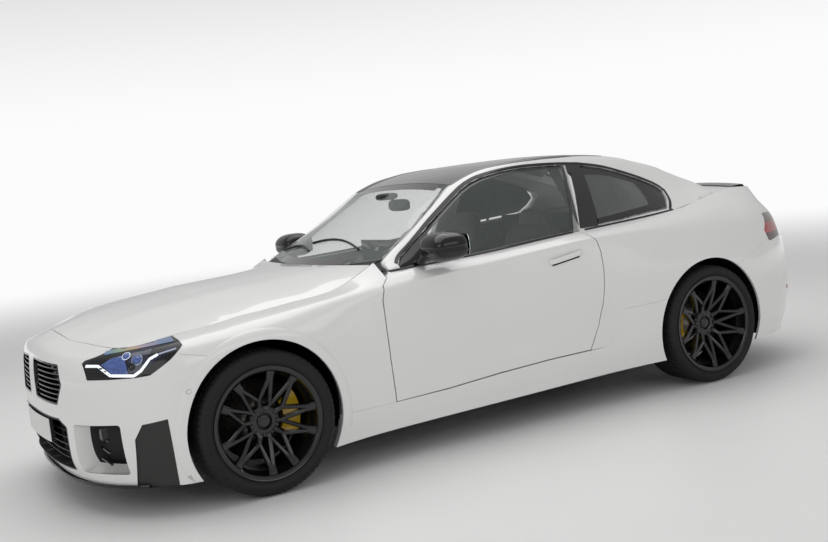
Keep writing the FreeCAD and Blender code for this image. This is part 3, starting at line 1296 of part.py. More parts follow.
def build_arch_liner(corner, radius, inner, cutters):
    # A tub round the wheel, closed towards the middle of the car
    outer = drum(corner.x, corner.z, radius + LINER_WALL, inner, HALF)
    hollow = drum(corner.x, corner.z, radius, inner + LINER_WALL, WIDTH)
    tub = outer.cut([hollow] + cutters)
    tub = tub.common(box(-NOSE_X, NOSE_X, 0, WIDTH, LINER_LOW, HEIGHT))
    return max(tub.Solids, key=lambda s: s.Volume)


def build_arch_liners():
    front = front_slab(PANEL_WALL + BLADE_INSET + 2 * SEAT, -SEAT)
    rear = rear_slab(PANEL_WALL + 2 * SEAT, -SEAT)
    strut = tube(V(FRONT.x, STRUT_Y, 0), V(FRONT.x, STRUT_Y, HEIGHT), STRUT_RADIUS + SHUT_GAP)
    shaft = drum(REAR.x, REAR.z, BEARING_RADIUS + SHUT_GAP, 0, REAR.y)
    skirt_cut = door_slab(-SEAT, DOOR_SKIN + SHUT_GAP + FRAME_WALL + SEAT)
    first = build_arch_liner(FRONT, LINER_RADIUS_FRONT, LINER_INNER_FRONT, [front, strut, skirt_cut])
    second = build_arch_liner(REAR, LINER_RADIUS_REAR, LINER_INNER_REAR, [rear, shaft, skirt_cut])
    return Part.makeCompound([first, mirrored(first), second, mirrored(second)])


# Structure, engine and exhaust

def build_front_structure(side_cutter):
    x = along(BULKHEAD_SHARE) + SEAT
    wide = at([(0, POST_TOP_SHARE)])[0][1]
    wall = box(x, x + BULKHEAD_WALL, -HALF, HALF, FLOOR_HEIGHT + FLOOR_WALL + SEAT, wide)
    wall = wall.cut(side_cutter + [plan_prism([(x - REACH, s * DASH_END), (x + REACH, s * DASH_END),
                                              (x + REACH, s * WIDTH), (x - REACH, s * WIDTH)], 0, HEIGHT)
                                   for s in (1, -1)])
    high = box(x, x + BULKHEAD_WALL, -RAIL_HALF, RAIL_HALF, wide / 2, BULKHEAD_TOP_SHARE * HEIGHT)
    pieces = [wall, high]
    crown = FRONT.z + LINER_RADIUS_FRONT + LINER_WALL + SEAT
    nose = along(-0.74)
    for s in (1, -1):
        rail = box(x, nose, RAIL_HALF - RAIL_SIDE / 2, RAIL_HALF + RAIL_SIDE / 2, RAIL_Z, RAIL_Z + RAIL_HEIGHT)
        web = box(FRONT.x - TOWER_RADIUS, FRONT.x + TOWER_RADIUS, RAIL_HALF - RAIL_SIDE / 2,
                  LINER_INNER_FRONT - SEAT, RAIL_Z, crown + FLOOR_WALL)
        deck = box(FRONT.x - TOWER_RADIUS, FRONT.x + TOWER_RADIUS, RAIL_HALF, STRUT_Y, crown, crown + FLOOR_WALL)
        tower = tube(V(FRONT.x, STRUT_Y, crown), V(FRONT.x, STRUT_Y, crown + FLOOR_WALL), TOWER_RADIUS)
        foot = box(FRONT.x - TOWER_RADIUS, FRONT.x + TOWER_RADIUS, SUBFRAME_HALF - RAIL_SIDE, RAIL_HALF,
                   FRONT.z - UPRIGHT_HEIGHT / 2 + 3 * ARM_WALL, RAIL_Z + RAIL_HEIGHT / 2)
        for piece in (rail, web, deck, tower, foot):
            pieces.append(piece if s > 0 else mirrored(piece))
    pieces.append(box(nose - RAIL_SIDE, nose, -BEAM_HALF, BEAM_HALF, RAIL_Z, RAIL_Z + RAIL_HEIGHT))
    panel = nose - RAIL_SIDE - RADIATOR_WALL
    top = SUPPORT_TOP_SHARE * HEIGHT
    pieces.append(box(panel, nose - RAIL_SIDE / 2, -RAIL_HALF, RAIL_HALF, top - RAIL_SIDE, top))
    for y in (RAIL_HALF - RAIL_SIDE / 2, -RAIL_HALF - RAIL_SIDE / 2):
        pieces.append(box(panel, nose - RAIL_SIDE / 2, y, y + RAIL_SIDE, RAIL_Z, top))
    stops = []
    grid = hood_grid()
    ceiling = between(sunk(grid, -PANEL_WALL), sunk(grid, HOOD_WALL + SEAT))
    for y in (RAIL_HALF - RAIL_SIDE, RAIL_SIDE - RAIL_HALF):
        stop = tube(V(nose - RAIL_SIDE, y, top - STOP_RADIUS), V(nose - RAIL_SIDE, y, HEIGHT), STOP_RADIUS)
        stops.append(min(stop.cut(ceiling).Solids, key=lambda s: s.CenterOfMass.z))
    return fused(pieces + stops)


def build_engine():
    # The engine as one plain block, and the radiator as another
    x = along(ENGINE_SHARE)
    block = box(x, x + ENGINE_LENGTH, -ENGINE_HALF, ENGINE_HALF, ENGINE_Z, ENGINE_Z + ENGINE_HEIGHT)
    mount_z = FRONT.z - UPRIGHT_HEIGHT / 2 + 3 * ARM_WALL
    mount = box(FRONT.x - ARM_WALL, FRONT.x + ARM_WALL, -ENGINE_HALF, ENGINE_HALF, mount_z, ENGINE_Z + ARM_WALL)
    panel = along(-0.74) - RAIL_SIDE - RADIATOR_WALL
    half = RAIL_HALF - RAIL_SIDE / 2 - SEAT
    radiator = box(panel, panel + RADIATOR_WALL / 2, -half, half, FLOOR_HEIGHT, SUPPORT_TOP_SHARE * HEIGHT - RAIL_SIDE - SEAT)
    return Part.makeCompound([fused([block, mount]), radiator])


def build_floor_pan():
    # Floor with its tunnel, rear bulkhead, parcel shelf, boot floor and tail panel
    front_x = along(BULKHEAD_SHARE) - SEAT
    heel_x = along(HEEL_SHARE)
    tail_x = along(TAIL_PANEL_SHARE)
    low = FLOOR_HEIGHT
    top = low + FLOOR_WALL
    inner = LINER_INNER_REAR - SEAT
    plate = box(heel_x, front_x + BULKHEAD_WALL, -FLOOR_HALF, FLOOR_HALF, low, top)
    pads = [box(x - PAD_SIDE / 2, x + PAD_SIDE / 2, y - PAD_SIDE / 2, y + PAD_SIDE / 2, low - PAD_WALL, low)
            for x in (front_x - PAD_SIDE, heel_x + PAD_SIDE) for y in (PAD_Y, -PAD_Y)]
    tunnel = front_prism([(-TUNNEL_HALF, top), (-0.7 * TUNNEL_HALF, top + TUNNEL_HEIGHT),
                          (0.7 * TUNNEL_HALF, top + TUNNEL_HEIGHT), (TUNNEL_HALF, top)], heel_x, front_x)
    hollow = front_prism([(-TUNNEL_HALF + FLOOR_WALL, 0), (FLOOR_WALL / 2 - 0.7 * TUNNEL_HALF, low + TUNNEL_HEIGHT),
                          (0.7 * TUNNEL_HALF - FLOOR_WALL / 2, low + TUNNEL_HEIGHT), (TUNNEL_HALF - FLOOR_WALL, 0)],
                         heel_x - REACH, front_x + REACH)
    boot_low = BOOT_FLOOR_SHARE * HEIGHT
    boot = box(tail_x, heel_x, -inner, inner, boot_low, boot_low + BULKHEAD_WALL)
    heel = box(heel_x - BULKHEAD_WALL, heel_x, -inner, inner, low, SHELF_SHARE * HEIGHT)
    shelf = box(along(1.30), heel_x, -0.9 * inner, 0.9 * inner, SHELF_SHARE * HEIGHT - BULKHEAD_WALL, SHELF_SHARE * HEIGHT)
    tail = box(tail_x, tail_x + BULKHEAD_WALL, -inner, inner, boot_low, TAIL_PANEL_TOP_SHARE * HEIGHT)
    return fused([plate, tunnel, boot, heel, shelf, tail] + pads).cut(hollow)


def build_exhaust():
    # Silencer, four tail pipes and the pipe that runs forward along the tunnel
    front_x = along(0.42)
    rear_x = along(TAIL_PANEL_SHARE)
    high = BOOT_FLOOR_SHARE * HEIGHT - SEAT
    box_x = along(1.45)
    silencer = box(rear_x, box_x, -0.5 * HALF, 0.5 * HALF, high - SILENCER_HEIGHT, high)
    pieces = [silencer]
    end = -NOSE_X + PIPE_INSET
    for y in pipe_places():
        pipe = tube(V(end, y, PIPE_Z), V(rear_x + PIPE_RADIUS, y, PIPE_Z), PIPE_RADIUS)
        pieces.append(pipe)
    run_z = FLOOR_HEIGHT + EXHAUST_RADIUS
    run = tube(V(box_x - EXHAUST_RADIUS, 0, run_z), V(front_x, 0, run_z), EXHAUST_RADIUS)
    drop = box(box_x - 3 * EXHAUST_RADIUS, box_x, -EXHAUST_RADIUS, EXHAUST_RADIUS, run_z, high - SILENCER_HEIGHT / 2)
    body = fused(pieces + [run, drop])
    bores = [tube(V(end - PIPE_RADIUS, y, PIPE_Z), V(rear_x - PIPE_WALL, y, PIPE_Z), PIPE_RADIUS - PIPE_WALL)
             for y in pipe_places()]
    return body.cut(bores)


def build_boot_frame():
    # The gutter that the lid closes on
    grid = boot_grid(SHUT_GAP + GUTTER_OUT)
    low = PANEL_WALL + GUTTER_DROP
    ring = between(sunk(grid, low), sunk(grid, low + GUTTER_WALL))
    side = BOOT_MOUTH_SHARE * HALF
    x = along(BOOT_TOP_SHARES[0][0]) - GUTTER_SIDE
    hole = box(-NOSE_X - REACH, x, -side, side, TAIL_PANEL_TOP_SHARE * HEIGHT + SHUT_GAP, HEIGHT + REACH)
    return ring.cut(hole)


def build_cowl():
    # Black cover between the hood's rear edge and the windscreen
    shares = steps(-COWL_SIDE_SHARE, COWL_SIDE_SHARE, CROSS_COLUMNS)
    drop = HOOD_WALL + 1.5 * SHUT_GAP
    under = [hood_point(1, c) + V(COWL_LIP, 0, -drop) for c in shares]
    glass = sunk(SCREEN_GRID, GLASS + SEAT)
    base = [Curve([(p.y, p.x) for p in row]) for row in glass[:2]]
    rise = [Curve([(p.y, p.z) for p in row]) for row in glass[:2]]
    side = glass[0][-1].y * COWL_SIDE_SHARE
    ys = steps(-side, side, CROSS_COLUMNS)
    first = [V(base[0](y), y, rise[0](y)) for y in ys]
    second = [V(base[1](y), y, rise[1](y)) for y in ys]
    second = [a + (b - a) * COWL_TUCK_SHARE for a, b in zip(first, second)]
    middle = [(a + b) / 2 for a, b in zip(under, first)]
    grid = [under, middle, first, second]
    hood = hood_grid()
    hood = between(sunk(hood, -PANEL_WALL), sunk(hood, HOOD_WALL + SHUT_GAP))
    # Clear of the hood's rear edge too
    behind = hood.translated(V(-SHUT_GAP, 0, 0))
    body = between(grid, shifted(grid, V(0, 0, -COWL_WALL))).cut([hood, behind])
    return max(body.Solids, key=lambda s: s.Volume)


# Cabin

def chair_side(table, x, y_from, y_to, size):
    base = FLOOR_HEIGHT + FLOOR_WALL + SEAT
    return side_prism([(x + a * size, base + b * size) for a, b in table], CHAIR_ROUND, y_from, y_to)


def build_seats():
    chair = chair_side(CHAIR_SHARES, CHAIR_X, CHAIR_Y - CHAIR_HALF, CHAIR_Y + CHAIR_HALF, CHAIR_HEIGHT)
    bench = chair_side(BENCH_SHARES, along(HEEL_SHARE) + SEAT, -BENCH_HALF, BENCH_HALF, CHAIR_HEIGHT)
    gap = TUNNEL_HALF + SHUT_GAP
    low = FLOOR_HEIGHT + FLOOR_WALL
    bench = bench.cut(box(-NOSE_X, NOSE_X, -gap, gap, 0, low + TUNNEL_HEIGHT + SHUT_GAP))
    return Part.makeCompound([chair, mirrored(chair), bench])


def steering_place(forward, across_it, up):
    # A point in the steering wheel's own frame: along the column, to the left, up its face
    tilt = math.radians(STEERING_TILT)
    return V(STEERING_X + forward * math.cos(tilt) + up * math.sin(tilt), CHAIR_Y + across_it,
             STEERING_Z - forward * math.sin(tilt) + up * math.cos(tilt))


def build_dashboard():
    dash = side_prism(at(DASH_SHARES), DASH_ROUND, -DASH_HALF, DASH_HALF)
    column = tube(steering_place(STEERING_RIM + SEAT, 0, 0), steering_place(STEERING_RADIUS, 0, 0), COLUMN_RADIUS)
    x = along(DASH_SHARES[-1][0])
    console = box(along(0.62), x, -0.6 * TUNNEL_HALF, 0.6 * TUNNEL_HALF, FLOOR_HEIGHT + FLOOR_WALL + TUNNEL_HEIGHT + SEAT,
                  CONSOLE_TOP_SHARE * HEIGHT)
    return fused([dash, column, console])


def build_steering_wheel():
    centre = steering_place(0, 0, 0)
    axis = steering_place(1, 0, 0) - centre
    ring = Part.makeTorus(STEERING_RADIUS, STEERING_RIM, centre, axis)
    hub = tube(steering_place(-STEERING_RIM, 0, 0), steering_place(STEERING_RIM, 0, 0), STEERING_HUB)
    spokes = []
    for across_it, up in ((1, 0), (-1, 0), (0, -1)):
        tip = steering_place(0, across_it * STEERING_RADIUS, up * STEERING_RADIUS)
        spokes.append(tube(centre, tip, STEERING_RIM * 0.7))
    return fused([ring, hub] + spokes)


def upper_sheet(lift):
    near = shifted(upper_sunk(GLASS_INSET), V(0, 0, lift))
    far = shifted(upper_sunk(GLASS_INSET + GLASS), V(0, 0, lift))
    return between(near, far)


def build_door_glass():
    # Frameless, clear of the rail by the shut gap
    top = moved(at(WINDOW_TOP_SHARES), -SHUT_GAP, -SHUT_GAP)
    points = top[:-1] + [(along(PILLAR_TOP_SHARE) + SHUT_GAP, 0.9505 * HEIGHT - SHUT_GAP)]
    points += [(along(PILLAR_FOOT_SHARE) + SHUT_GAP, 0.60 * HEIGHT), (points[0][0], 0.60 * HEIGHT)]
    return upper_sheet(SEAT).common(side_prism(points))


def build_quarter_window():
    return pair(upper_sheet(SEAT).common(side_prism(inset(quarter_outline(), SEAT))))


def save(name, shape):
    solids = shape.Solids
    print(name, len(solids), all(s.isValid() for s in solids), round(sum(s.Volume for s in solids) / 1e6, 2))
    body = solids[0] if len(solids) == 1 else Part.makeCompound(solids)
    body.exportStep("parts/" + name + ".step")


def build():
    os.makedirs("parts", exist_ok=True)
    front = front_slab()
    rear = rear_slab()
    side = BOOT_SIDE_SHARE * HALF + SHUT_GAP
    top_side = BOOT_TOP_SHARES[0][1] * HALF + SHUT_GAP
    boot_cut = plan_prism(
        [(along(1.405), -top_side), (along(1.405), top_side), (along(1.65), top_side), (along(1.80), side),
         (-NOSE_X - REACH, side), (-NOSE_X - REACH, -side), (along(1.80), -side), (along(1.65), -top_side)],
        0.567 * HEIGHT, HEIGHT)
    save("front_bumper", build_front_bumper(front))
    save("front_trim", Part.makeCompound(build_corner_blades().Solids + [build_intake_grille(), build_splitter()]))
    save("kidney_grilles", build_kidney_grille())
    save("front_fenders", build_front_fenders(front))
    save("headlamps", build_headlamps())
    save("hood", build_hood())
    save("cowl", build_cowl())
    save("windshield", between(SCREEN_GRID, sunk(SCREEN_GRID, GLASS)))
    grid = roof_grid()
    save("roof_panel", between(grid, shifted(grid, V(0, 0, -ROOF_WALL))))
    save("rear_window", between(WINDOW_GRID, sunk(WINDOW_GRID, GLASS)))
    save("quarter_windows", build_quarter_window())
    save("roof_frames", build_roof_frames())
    save("quarter_panels", build_quarter_panels(rear, boot_cut))
    save("side_frames", build_side_frames())
    save("side_skirts", pair(build_side_skirts()))
    save("tail_lamps", build_tail_lamps(boot_cut))
    save("rear_bumper", build_rear_bumper(rear, boot_cut))
    save("rear_diffuser", build_diffuser())
    grid = boot_grid()
    save("boot_lid", between(grid, sunk(grid, PANEL_WALL)))
    save("boot_frame", build_boot_frame())
    door = build_door()
    save("door_left", door)
    save("door_right", mirrored(door))
    glass = build_door_glass()
    save("door_glass_left", glass)
    save("door_glass_right", mirrored(glass))
    mirror = build_mirror()
    save("door_mirror_left", mirror)
    save("door_mirror_right", mirrored(mirror))
    save("door_seals", build_door_seals())
    side_slab = door_slab(DOOR_SKIN + SHUT_GAP - SEAT, DOOR_SKIN + SHUT_GAP + FRAME_WALL + SEAT)
    side_cutter = [side_slab, mirrored(side_slab)]
    save("front_structure", build_front_structure(side_cutter))
    save("floor_pan", build_floor_pan())
    save("engine_block", build_engine())
    save("exhaust", build_exhaust())
    save("wheel_liners", build_arch_liners())
    save("front_suspension", build_front_suspension())
    save("rear_suspension", build_rear_suspension())
    save("rear_calipers", pair(build_caliper(REAR, True)))
    knuckle = build_upright(FRONT, KINGPIN_Y, False)
    caliper = build_caliper(FRONT, False)
    save("knuckle_left", knuckle)
    save("knuckle_right", mirrored(knuckle))
    save("front_caliper_left", caliper)
    save("front_caliper_right", mirrored(caliper))
    for end, corner in (("front", FRONT), ("rear", REAR)):
        tyre = build_tyre(corner)
        rim = Part.makeCompound([build_rim(corner), build_cap(corner)])
        disc = build_brake_disc(corner)
        for side_name, place in (("left", lambda s: s), ("right", mirrored)):
            name = end + "_" + side_name
            save("tyre_" + name, place(tyre))
            save("rim_" + name, place(rim))
            save("brake_disc_" + name, place(disc))
    save("seats", build_seats())
    save("dashboard", build_dashboard())
    save("steering_wheel", build_steering_wheel())


build()
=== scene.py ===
import json
import math

import bmesh
import bpy
from mathutils import Matrix, Vector
from mathutils.bvhtree import BVHTree

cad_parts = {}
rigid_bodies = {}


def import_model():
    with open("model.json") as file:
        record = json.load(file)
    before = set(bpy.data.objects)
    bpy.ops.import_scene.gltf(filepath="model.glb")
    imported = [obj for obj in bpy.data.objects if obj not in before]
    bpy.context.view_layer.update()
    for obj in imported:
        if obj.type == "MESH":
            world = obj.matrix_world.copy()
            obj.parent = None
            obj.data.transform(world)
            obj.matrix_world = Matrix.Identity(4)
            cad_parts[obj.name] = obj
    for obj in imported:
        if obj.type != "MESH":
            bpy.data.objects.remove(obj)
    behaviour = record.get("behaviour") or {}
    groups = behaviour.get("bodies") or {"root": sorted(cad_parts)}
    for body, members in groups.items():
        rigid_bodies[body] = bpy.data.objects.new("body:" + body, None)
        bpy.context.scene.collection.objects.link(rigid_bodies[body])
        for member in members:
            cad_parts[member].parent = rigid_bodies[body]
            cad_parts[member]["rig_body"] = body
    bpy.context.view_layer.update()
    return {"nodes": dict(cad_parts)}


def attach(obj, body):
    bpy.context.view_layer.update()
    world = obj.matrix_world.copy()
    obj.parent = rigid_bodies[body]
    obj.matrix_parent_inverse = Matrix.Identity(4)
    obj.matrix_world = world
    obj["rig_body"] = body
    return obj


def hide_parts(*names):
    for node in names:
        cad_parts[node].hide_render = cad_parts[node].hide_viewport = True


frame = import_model()
NODES = frame["nodes"]

# Photograph's frame and camera: pixels, degrees and metres
PHOTO_WIDTH = 828
PHOTO_HEIGHT = 542
PHOTO_CENTRE = (PHOTO_WIDTH / 2, PHOTO_HEIGHT / 2)
SENSOR = 36.0
LENS = 47.0
FOCAL = LENS / SENSOR * PHOTO_WIDTH
CAMERA_PLACE = Vector((3.1593, 5.4720, 1.3855))
CAMERA_YAW = -119.13
CAMERA_DOWN = 5.21
CAMERA_ROLL = -6.28

# Driving sizes, as in the construction model
LENGTH = 4.580
WIDTH = 1.887
HEIGHT = 1.403
WHEELBASE = 2.747
FRONT_OVERHANG = 0.835
REAR_OVERHANG = LENGTH - WHEELBASE - FRONT_OVERHANG
HALF = WIDTH / 2
FRONT_AXLE_X = LENGTH / 2 - FRONT_OVERHANG
REAR_AXLE_X = FRONT_AXLE_X - WHEELBASE

SKYWARD = Vector((0, 0, 1))
SIDES = (("left", 1), ("right", -1))
DOORS = ("door_left", "door_right")
ROOT_PAIR = ("root", "root")


def camera_axes():
    yaw = math.radians(CAMERA_YAW)
    down = math.radians(CAMERA_DOWN)
    roll = math.radians(CAMERA_ROLL)
    forward = Vector((math.cos(down) * math.cos(yaw), math.cos(down) * math.sin(yaw), -math.sin(down)))
    level = forward.cross(SKYWARD).normalized()
    upright = level.cross(forward)
    right = level * math.cos(roll) + upright * math.sin(roll)
    return right, right.cross(forward), forward


RIGHT, UP, FORWARD = camera_axes()


def make_camera():
    data = bpy.data.cameras.new("photo_camera")
    data.sensor_width = SENSOR
    data.lens = LENS
    data.clip_start = 0.05
    data.clip_end = 200.0
    camera = bpy.data.objects.new("photo_camera", data)
    bpy.context.scene.collection.objects.link(camera)
    turn = Matrix((RIGHT, UP, -FORWARD)).transposed()
    camera.matrix_world = Matrix.Translation(CAMERA_PLACE) @ turn.to_4x4()
    bpy.context.scene.camera = camera


# Materials

def new_node(tree, kind, inputs=None, **settings):
    made = tree.nodes.new("ShaderNode" + kind)
    for name, value in settings.items():
        setattr(made, name, value)
    for socket, value in (inputs or {}).items():
        made.inputs[socket].default_value = value
    return made


def wire(tree, *links):
    # Each link: a node and its output, then a node and its input
    for source, output, sink, socket in links:
        tree.links.new(source.outputs[output], sink.inputs[socket])


def shader_of(made):
    return made.node_tree.nodes["Principled BSDF"]


def material(name, colour, rough=0.5, metal=0.0, coat=0.0, vary=0.08, vary_scale=2.5,
             rough_vary=0.05, grain=0.0, grain_scale=300.0, sheen=0.0, glow=0.0, specular=0.5):
    # One shader with uneven colour, uneven roughness and a fine bump, all in the object's own space
    made = bpy.data.materials.new(name)
    made.use_nodes = True
    tree = made.node_tree
    shader = shader_of(made)
    for socket, value in (("Metallic", metal), ("Coat Weight", coat), ("Coat Roughness", 0.03),
                          ("Sheen Weight", sheen), ("Specular IOR Level", specular)):
        shader.inputs[socket].default_value = value
    place = new_node(tree, "TexCoord")
    broad = new_node(tree, "TexNoise", {"Scale": vary_scale, "Detail": 4.0})
    dark = (*[c * (1 - vary) for c in colour], 1)
    bright = (*[min(1.0, c * (1 + vary)) for c in colour], 1)
    blend = new_node(tree, "Mix", {"A": dark, "B": bright}, data_type="RGBA")
    span = new_node(tree, "MapRange", {"To Min": max(0.0, rough - rough_vary), "To Max": rough + rough_vary})
    wire(tree, (place, "Object", broad, "Vector"), (broad, "Fac", blend, "Factor"),
         (blend, "Result", shader, "Base Color"), (broad, "Fac", span, "Value"),
         (span, "Result", shader, "Roughness"))
    if grain:
        fine = new_node(tree, "TexNoise", {"Scale": grain_scale, "Detail": 2.0})
        bump = new_node(tree, "Bump", {"Strength": grain, "Distance": 0.0006})
        wire(tree, (place, "Object", fine, "Vector"), (fine, "Fac", bump, "Height"),
             (bump, "Normal", shader, "Normal"))
    if glow:
        shader.inputs["Emission Color"].default_value = (*colour, 1)
        shader.inputs["Emission Strength"].default_value = glow
    return made


def glass_material(name, tint, clear, edge):
    # See-through face on, and a mirror at a grazing angle. A pane's far face is left clear
    made = material(name, tint, rough=0.03, rough_vary=0.01, vary=0.1, specular=0.6)
    tree = made.node_tree
    fresnel = new_node(tree, "Fresnel", {"IOR": 1.5})
    span = new_node(tree, "MapRange", {"From Max": 0.6, "To Min": clear, "To Max": edge})
    face = new_node(tree, "NewGeometry")
    front = new_node(tree, "Math", {0: 1.0}, operation="SUBTRACT")
    shown = new_node(tree, "Math", operation="MULTIPLY")
    wire(tree, (face, "Backfacing", front, 1), (fresnel, "Fac", span, "Value"), (span, "Result", shown, 0),
         (front, "Value", shown, 1), (shown, "Value", shader_of(made), "Alpha"))
    return made


def weave_material(name):
    # Glossy woven panel: a fine diagonal check under clear lacquer
    made = material(name, (0.018, 0.018, 0.02), rough=0.3, coat=1.0)
    tree = made.node_tree
    place = new_node(tree, "TexCoord")
    stretch = new_node(tree, "Mapping", {"Scale": (260.0, 260.0, 0.0), "Rotation": (0, 0, math.radians(45))})
    checks = new_node(tree, "TexChecker", {"Scale": 1.0, "Color1": (0.010, 0.010, 0.011, 1),
                                           "Color2": (0.030, 0.030, 0.033, 1)})
    wire(tree, (place, "Object", stretch, "Vector"), (stretch, "Vector", checks, "Vector"),
         (checks, "Color", shader_of(made), "Base Color"))
    return made


def brushed_material(name, colour, scale=(6.0, 900.0, 6.0)):
    made = material(name, colour, rough=0.32, metal=1.0, rough_vary=0.08)
    tree = made.node_tree
    place = new_node(tree, "TexCoord")
    stretch = new_node(tree, "Mapping", {"Scale": scale})
    lines = new_node(tree, "TexNoise", {"Scale": 1.0})
    bump = new_node(tree, "Bump", {"Strength": 0.2, "Distance": 0.0004})
    wire(tree, (place, "Object", stretch, "Vector"), (stretch, "Vector", lines, "Vector"),
         (lines, "Fac", bump, "Height"), (bump, "Normal", shader_of(made), "Normal"))
    return made


def ramp_material(name, stops, low, high, axis, rough=0.1, coat=1.0, metal=0.0):
    # Colours laid along one of the object's own axes, between two places
    made = material(name, stops[0][1], rough=rough, coat=coat, metal=metal)
    tree = made.node_tree
    place = new_node(tree, "TexCoord")
    split = new_node(tree, "SeparateXYZ")
    span = new_node(tree, "MapRange", {"From Min": low, "From Max": high})
    ramp = new_node(tree, "ValToRGB")
    parts = ramp.color_ramp.elements
    while len(parts) < len(stops):
        parts.new(0.5)
    for part, (at_share, colour) in zip(parts, stops):
        part.position = at_share
        part.color = (*colour, 1)
    wire(tree, (place, "Object", split, "Vector"), (split, axis, span, "Value"),
         (span, "Result", ramp, "Fac"), (ramp, "Color", shader_of(made), "Base Color"))
    return made


PAINT = material("paint_white", (0.80, 0.80, 0.79), rough=0.3, coat=1.0, vary=0.012, grain=0.02,
                 grain_scale=900.0)
ROOF = weave_material("roof_weave")
GLOSS = material("gloss_black", (0.005, 0.005, 0.006), rough=0.1, coat=0.35, vary=0.2, specular=0.3)
SATIN = material("satin_black", (0.014, 0.014, 0.015), rough=0.42, grain=0.25, grain_scale=500.0,
                 specular=0.3)
MATTE = material("matte_black", (0.016, 0.016, 0.017), rough=0.7, grain=0.4, grain_scale=350.0)
# Flat black that reflects almost nothing: the wheel liners' own black, and painted shade in the disc holes,
# under the door handles and behind the grilles
BLACK_AND_SHADE = material("liner_black_and_shade", (0.006, 0.006, 0.006), rough=0.9, specular=0.1)
GREY = material("blade_grey", (0.034, 0.033, 0.032), rough=0.5, grain=0.35, grain_scale=700.0, specular=0.3)
GREY_GLOSS = material("pillar_cover", (0.030, 0.029, 0.029), rough=0.2, coat=0.3, vary=0.15, specular=0.3)
SATIN_GLOSS = material("mirror_satin", (0.016, 0.016, 0.018), rough=0.28, coat=0.2, grain=0.1, specular=0.3)
GLASS = glass_material("window_glass", (0.30, 0.34, 0.32), 0.20, 0.85)
FRIT = material("glass_border", (0.012, 0.012, 0.013), rough=0.08, coat=1.0)
RED = material("lamp_red", (0.32, 0.006, 0.008), rough=0.08, coat=1.0, vary=0.3, vary_scale=30.0)
LAMP_BACK = material("lamp_black", (0.006, 0.006, 0.008), rough=0.12, coat=0.3, vary=0.3, vary_scale=18.0,
                     specular=0.3)
LIGHT = material("light_line", (0.86, 0.93, 1.0), rough=0.2, glow=0.45)
LIGHT_SOFT = material("light_line_end", (0.42, 0.46, 0.58), rough=0.25, glow=0.12)
BLUE = material("lamp_blue", (0.06, 0.11, 0.34), rough=0.06, coat=0.6, vary=0.9, vary_scale=60.0)
# The lamp's own blue, darkened as painted shade in the pocket round the lenses
BLUE_SHADED = material("lamp_pocket_shade", (0.010, 0.016, 0.045), rough=0.1, coat=0.5, vary=0.7, vary_scale=60.0)
RIB_BLUE = material("lamp_rib", (0.07, 0.09, 0.16), rough=0.25, metal=0.5, vary=0.2, vary_scale=60.0)
SILVER = material("lamp_reflector", (0.62, 0.68, 0.80), rough=0.16, metal=1.0, vary=0.3, vary_scale=45.0)
FIN_METAL = material("grille_fin", (0.30, 0.31, 0.32), rough=0.25, metal=0.7, vary=0.15)
STEEL = material("structure_grey", (0.30, 0.31, 0.32), rough=0.5, grain=0.15)

# Tail lamp: dark foot, red band, smoky top. Headlamp band: a silver strip with painted reflection colours
# laid along it
TAIL_STOPS = [
    (0.00, (0.012, 0.006, 0.006)), (0.28, (0.05, 0.006, 0.007)), (0.34, (0.40, 0.012, 0.014)),
    (0.62, (0.34, 0.010, 0.012)), (0.70, (0.10, 0.04, 0.04)), (1.00, (0.16, 0.13, 0.13)),
]
TAIL_GLASS = ramp_material("tail_glass", TAIL_STOPS, 0.740, 0.912, "Z")
SHEEN_STOPS = [
    (0.00, (0.10, 0.22, 0.50)), (0.22, (0.45, 0.30, 0.55)), (0.40, (0.70, 0.45, 0.20)),
    (0.60, (0.25, 0.45, 0.30)), (0.80, (0.12, 0.28, 0.60)), (1.00, (0.40, 0.25, 0.50)),
]
SHEEN_BAND = ramp_material("lamp_sheen_band", SHEEN_STOPS, 1.86, 2.13, "X", rough=0.18, metal=0.6)
CAST = material("cast_metal", (0.10, 0.10, 0.105), rough=0.6, metal=0.6, grain=0.5, grain_scale=260.0)
TYRE = material("tyre_rubber", (0.012, 0.012, 0.013), rough=0.62, grain=0.3, grain_scale=600.0, vary=0.15,
                specular=0.3)
RUBBER = material("seal_rubber", (0.012, 0.012, 0.012), rough=0.75, grain=0.3)
RIM = material("rim_black", (0.006, 0.006, 0.007), rough=0.18, coat=0.4, vary=0.15, specular=0.4)
RIM_DARK = material("rim_inside", (0.004, 0.004, 0.0045), rough=0.4, vary=0.2, specular=0.2)
IRON = brushed_material("disc_iron", (0.33, 0.30, 0.27), (900.0, 6.0, 900.0))
CHROME = brushed_material("pipe_steel", (0.48, 0.48, 0.49))
YELLOW = material("caliper_yellow", (0.78, 0.50, 0.012), rough=0.25, coat=0.6, vary=0.06)
LEATHER = material("seat_leather", (0.030, 0.030, 0.031), rough=0.5, grain=0.6, grain_scale=420.0, sheen=0.1)
PLASTIC = material("cabin_plastic", (0.035, 0.035, 0.037), rough=0.6, grain=0.5, grain_scale=450.0)
CLOTH = material("head_lining", (0.10, 0.10, 0.105), rough=0.9, grain=0.6, grain_scale=700.0, sheen=0.2)
SCREEN = material("cabin_screen", (0.012, 0.014, 0.02), rough=0.06, coat=1.0)
ENGINE = material("engine_metal", (0.32, 0.33, 0.34), rough=0.45, metal=0.8, grain=0.4, grain_scale=200.0)
MIRROR = material("mirror_face", (0.85, 0.87, 0.9), rough=0.02, metal=1.0, rough_vary=0.01)
PLATE = material("blank_plate", (0.74, 0.74, 0.73), rough=0.35, vary=0.03)
CHIP = material("sensor_grey", (0.45, 0.45, 0.44), rough=0.3, coat=0.5)


# Shapes

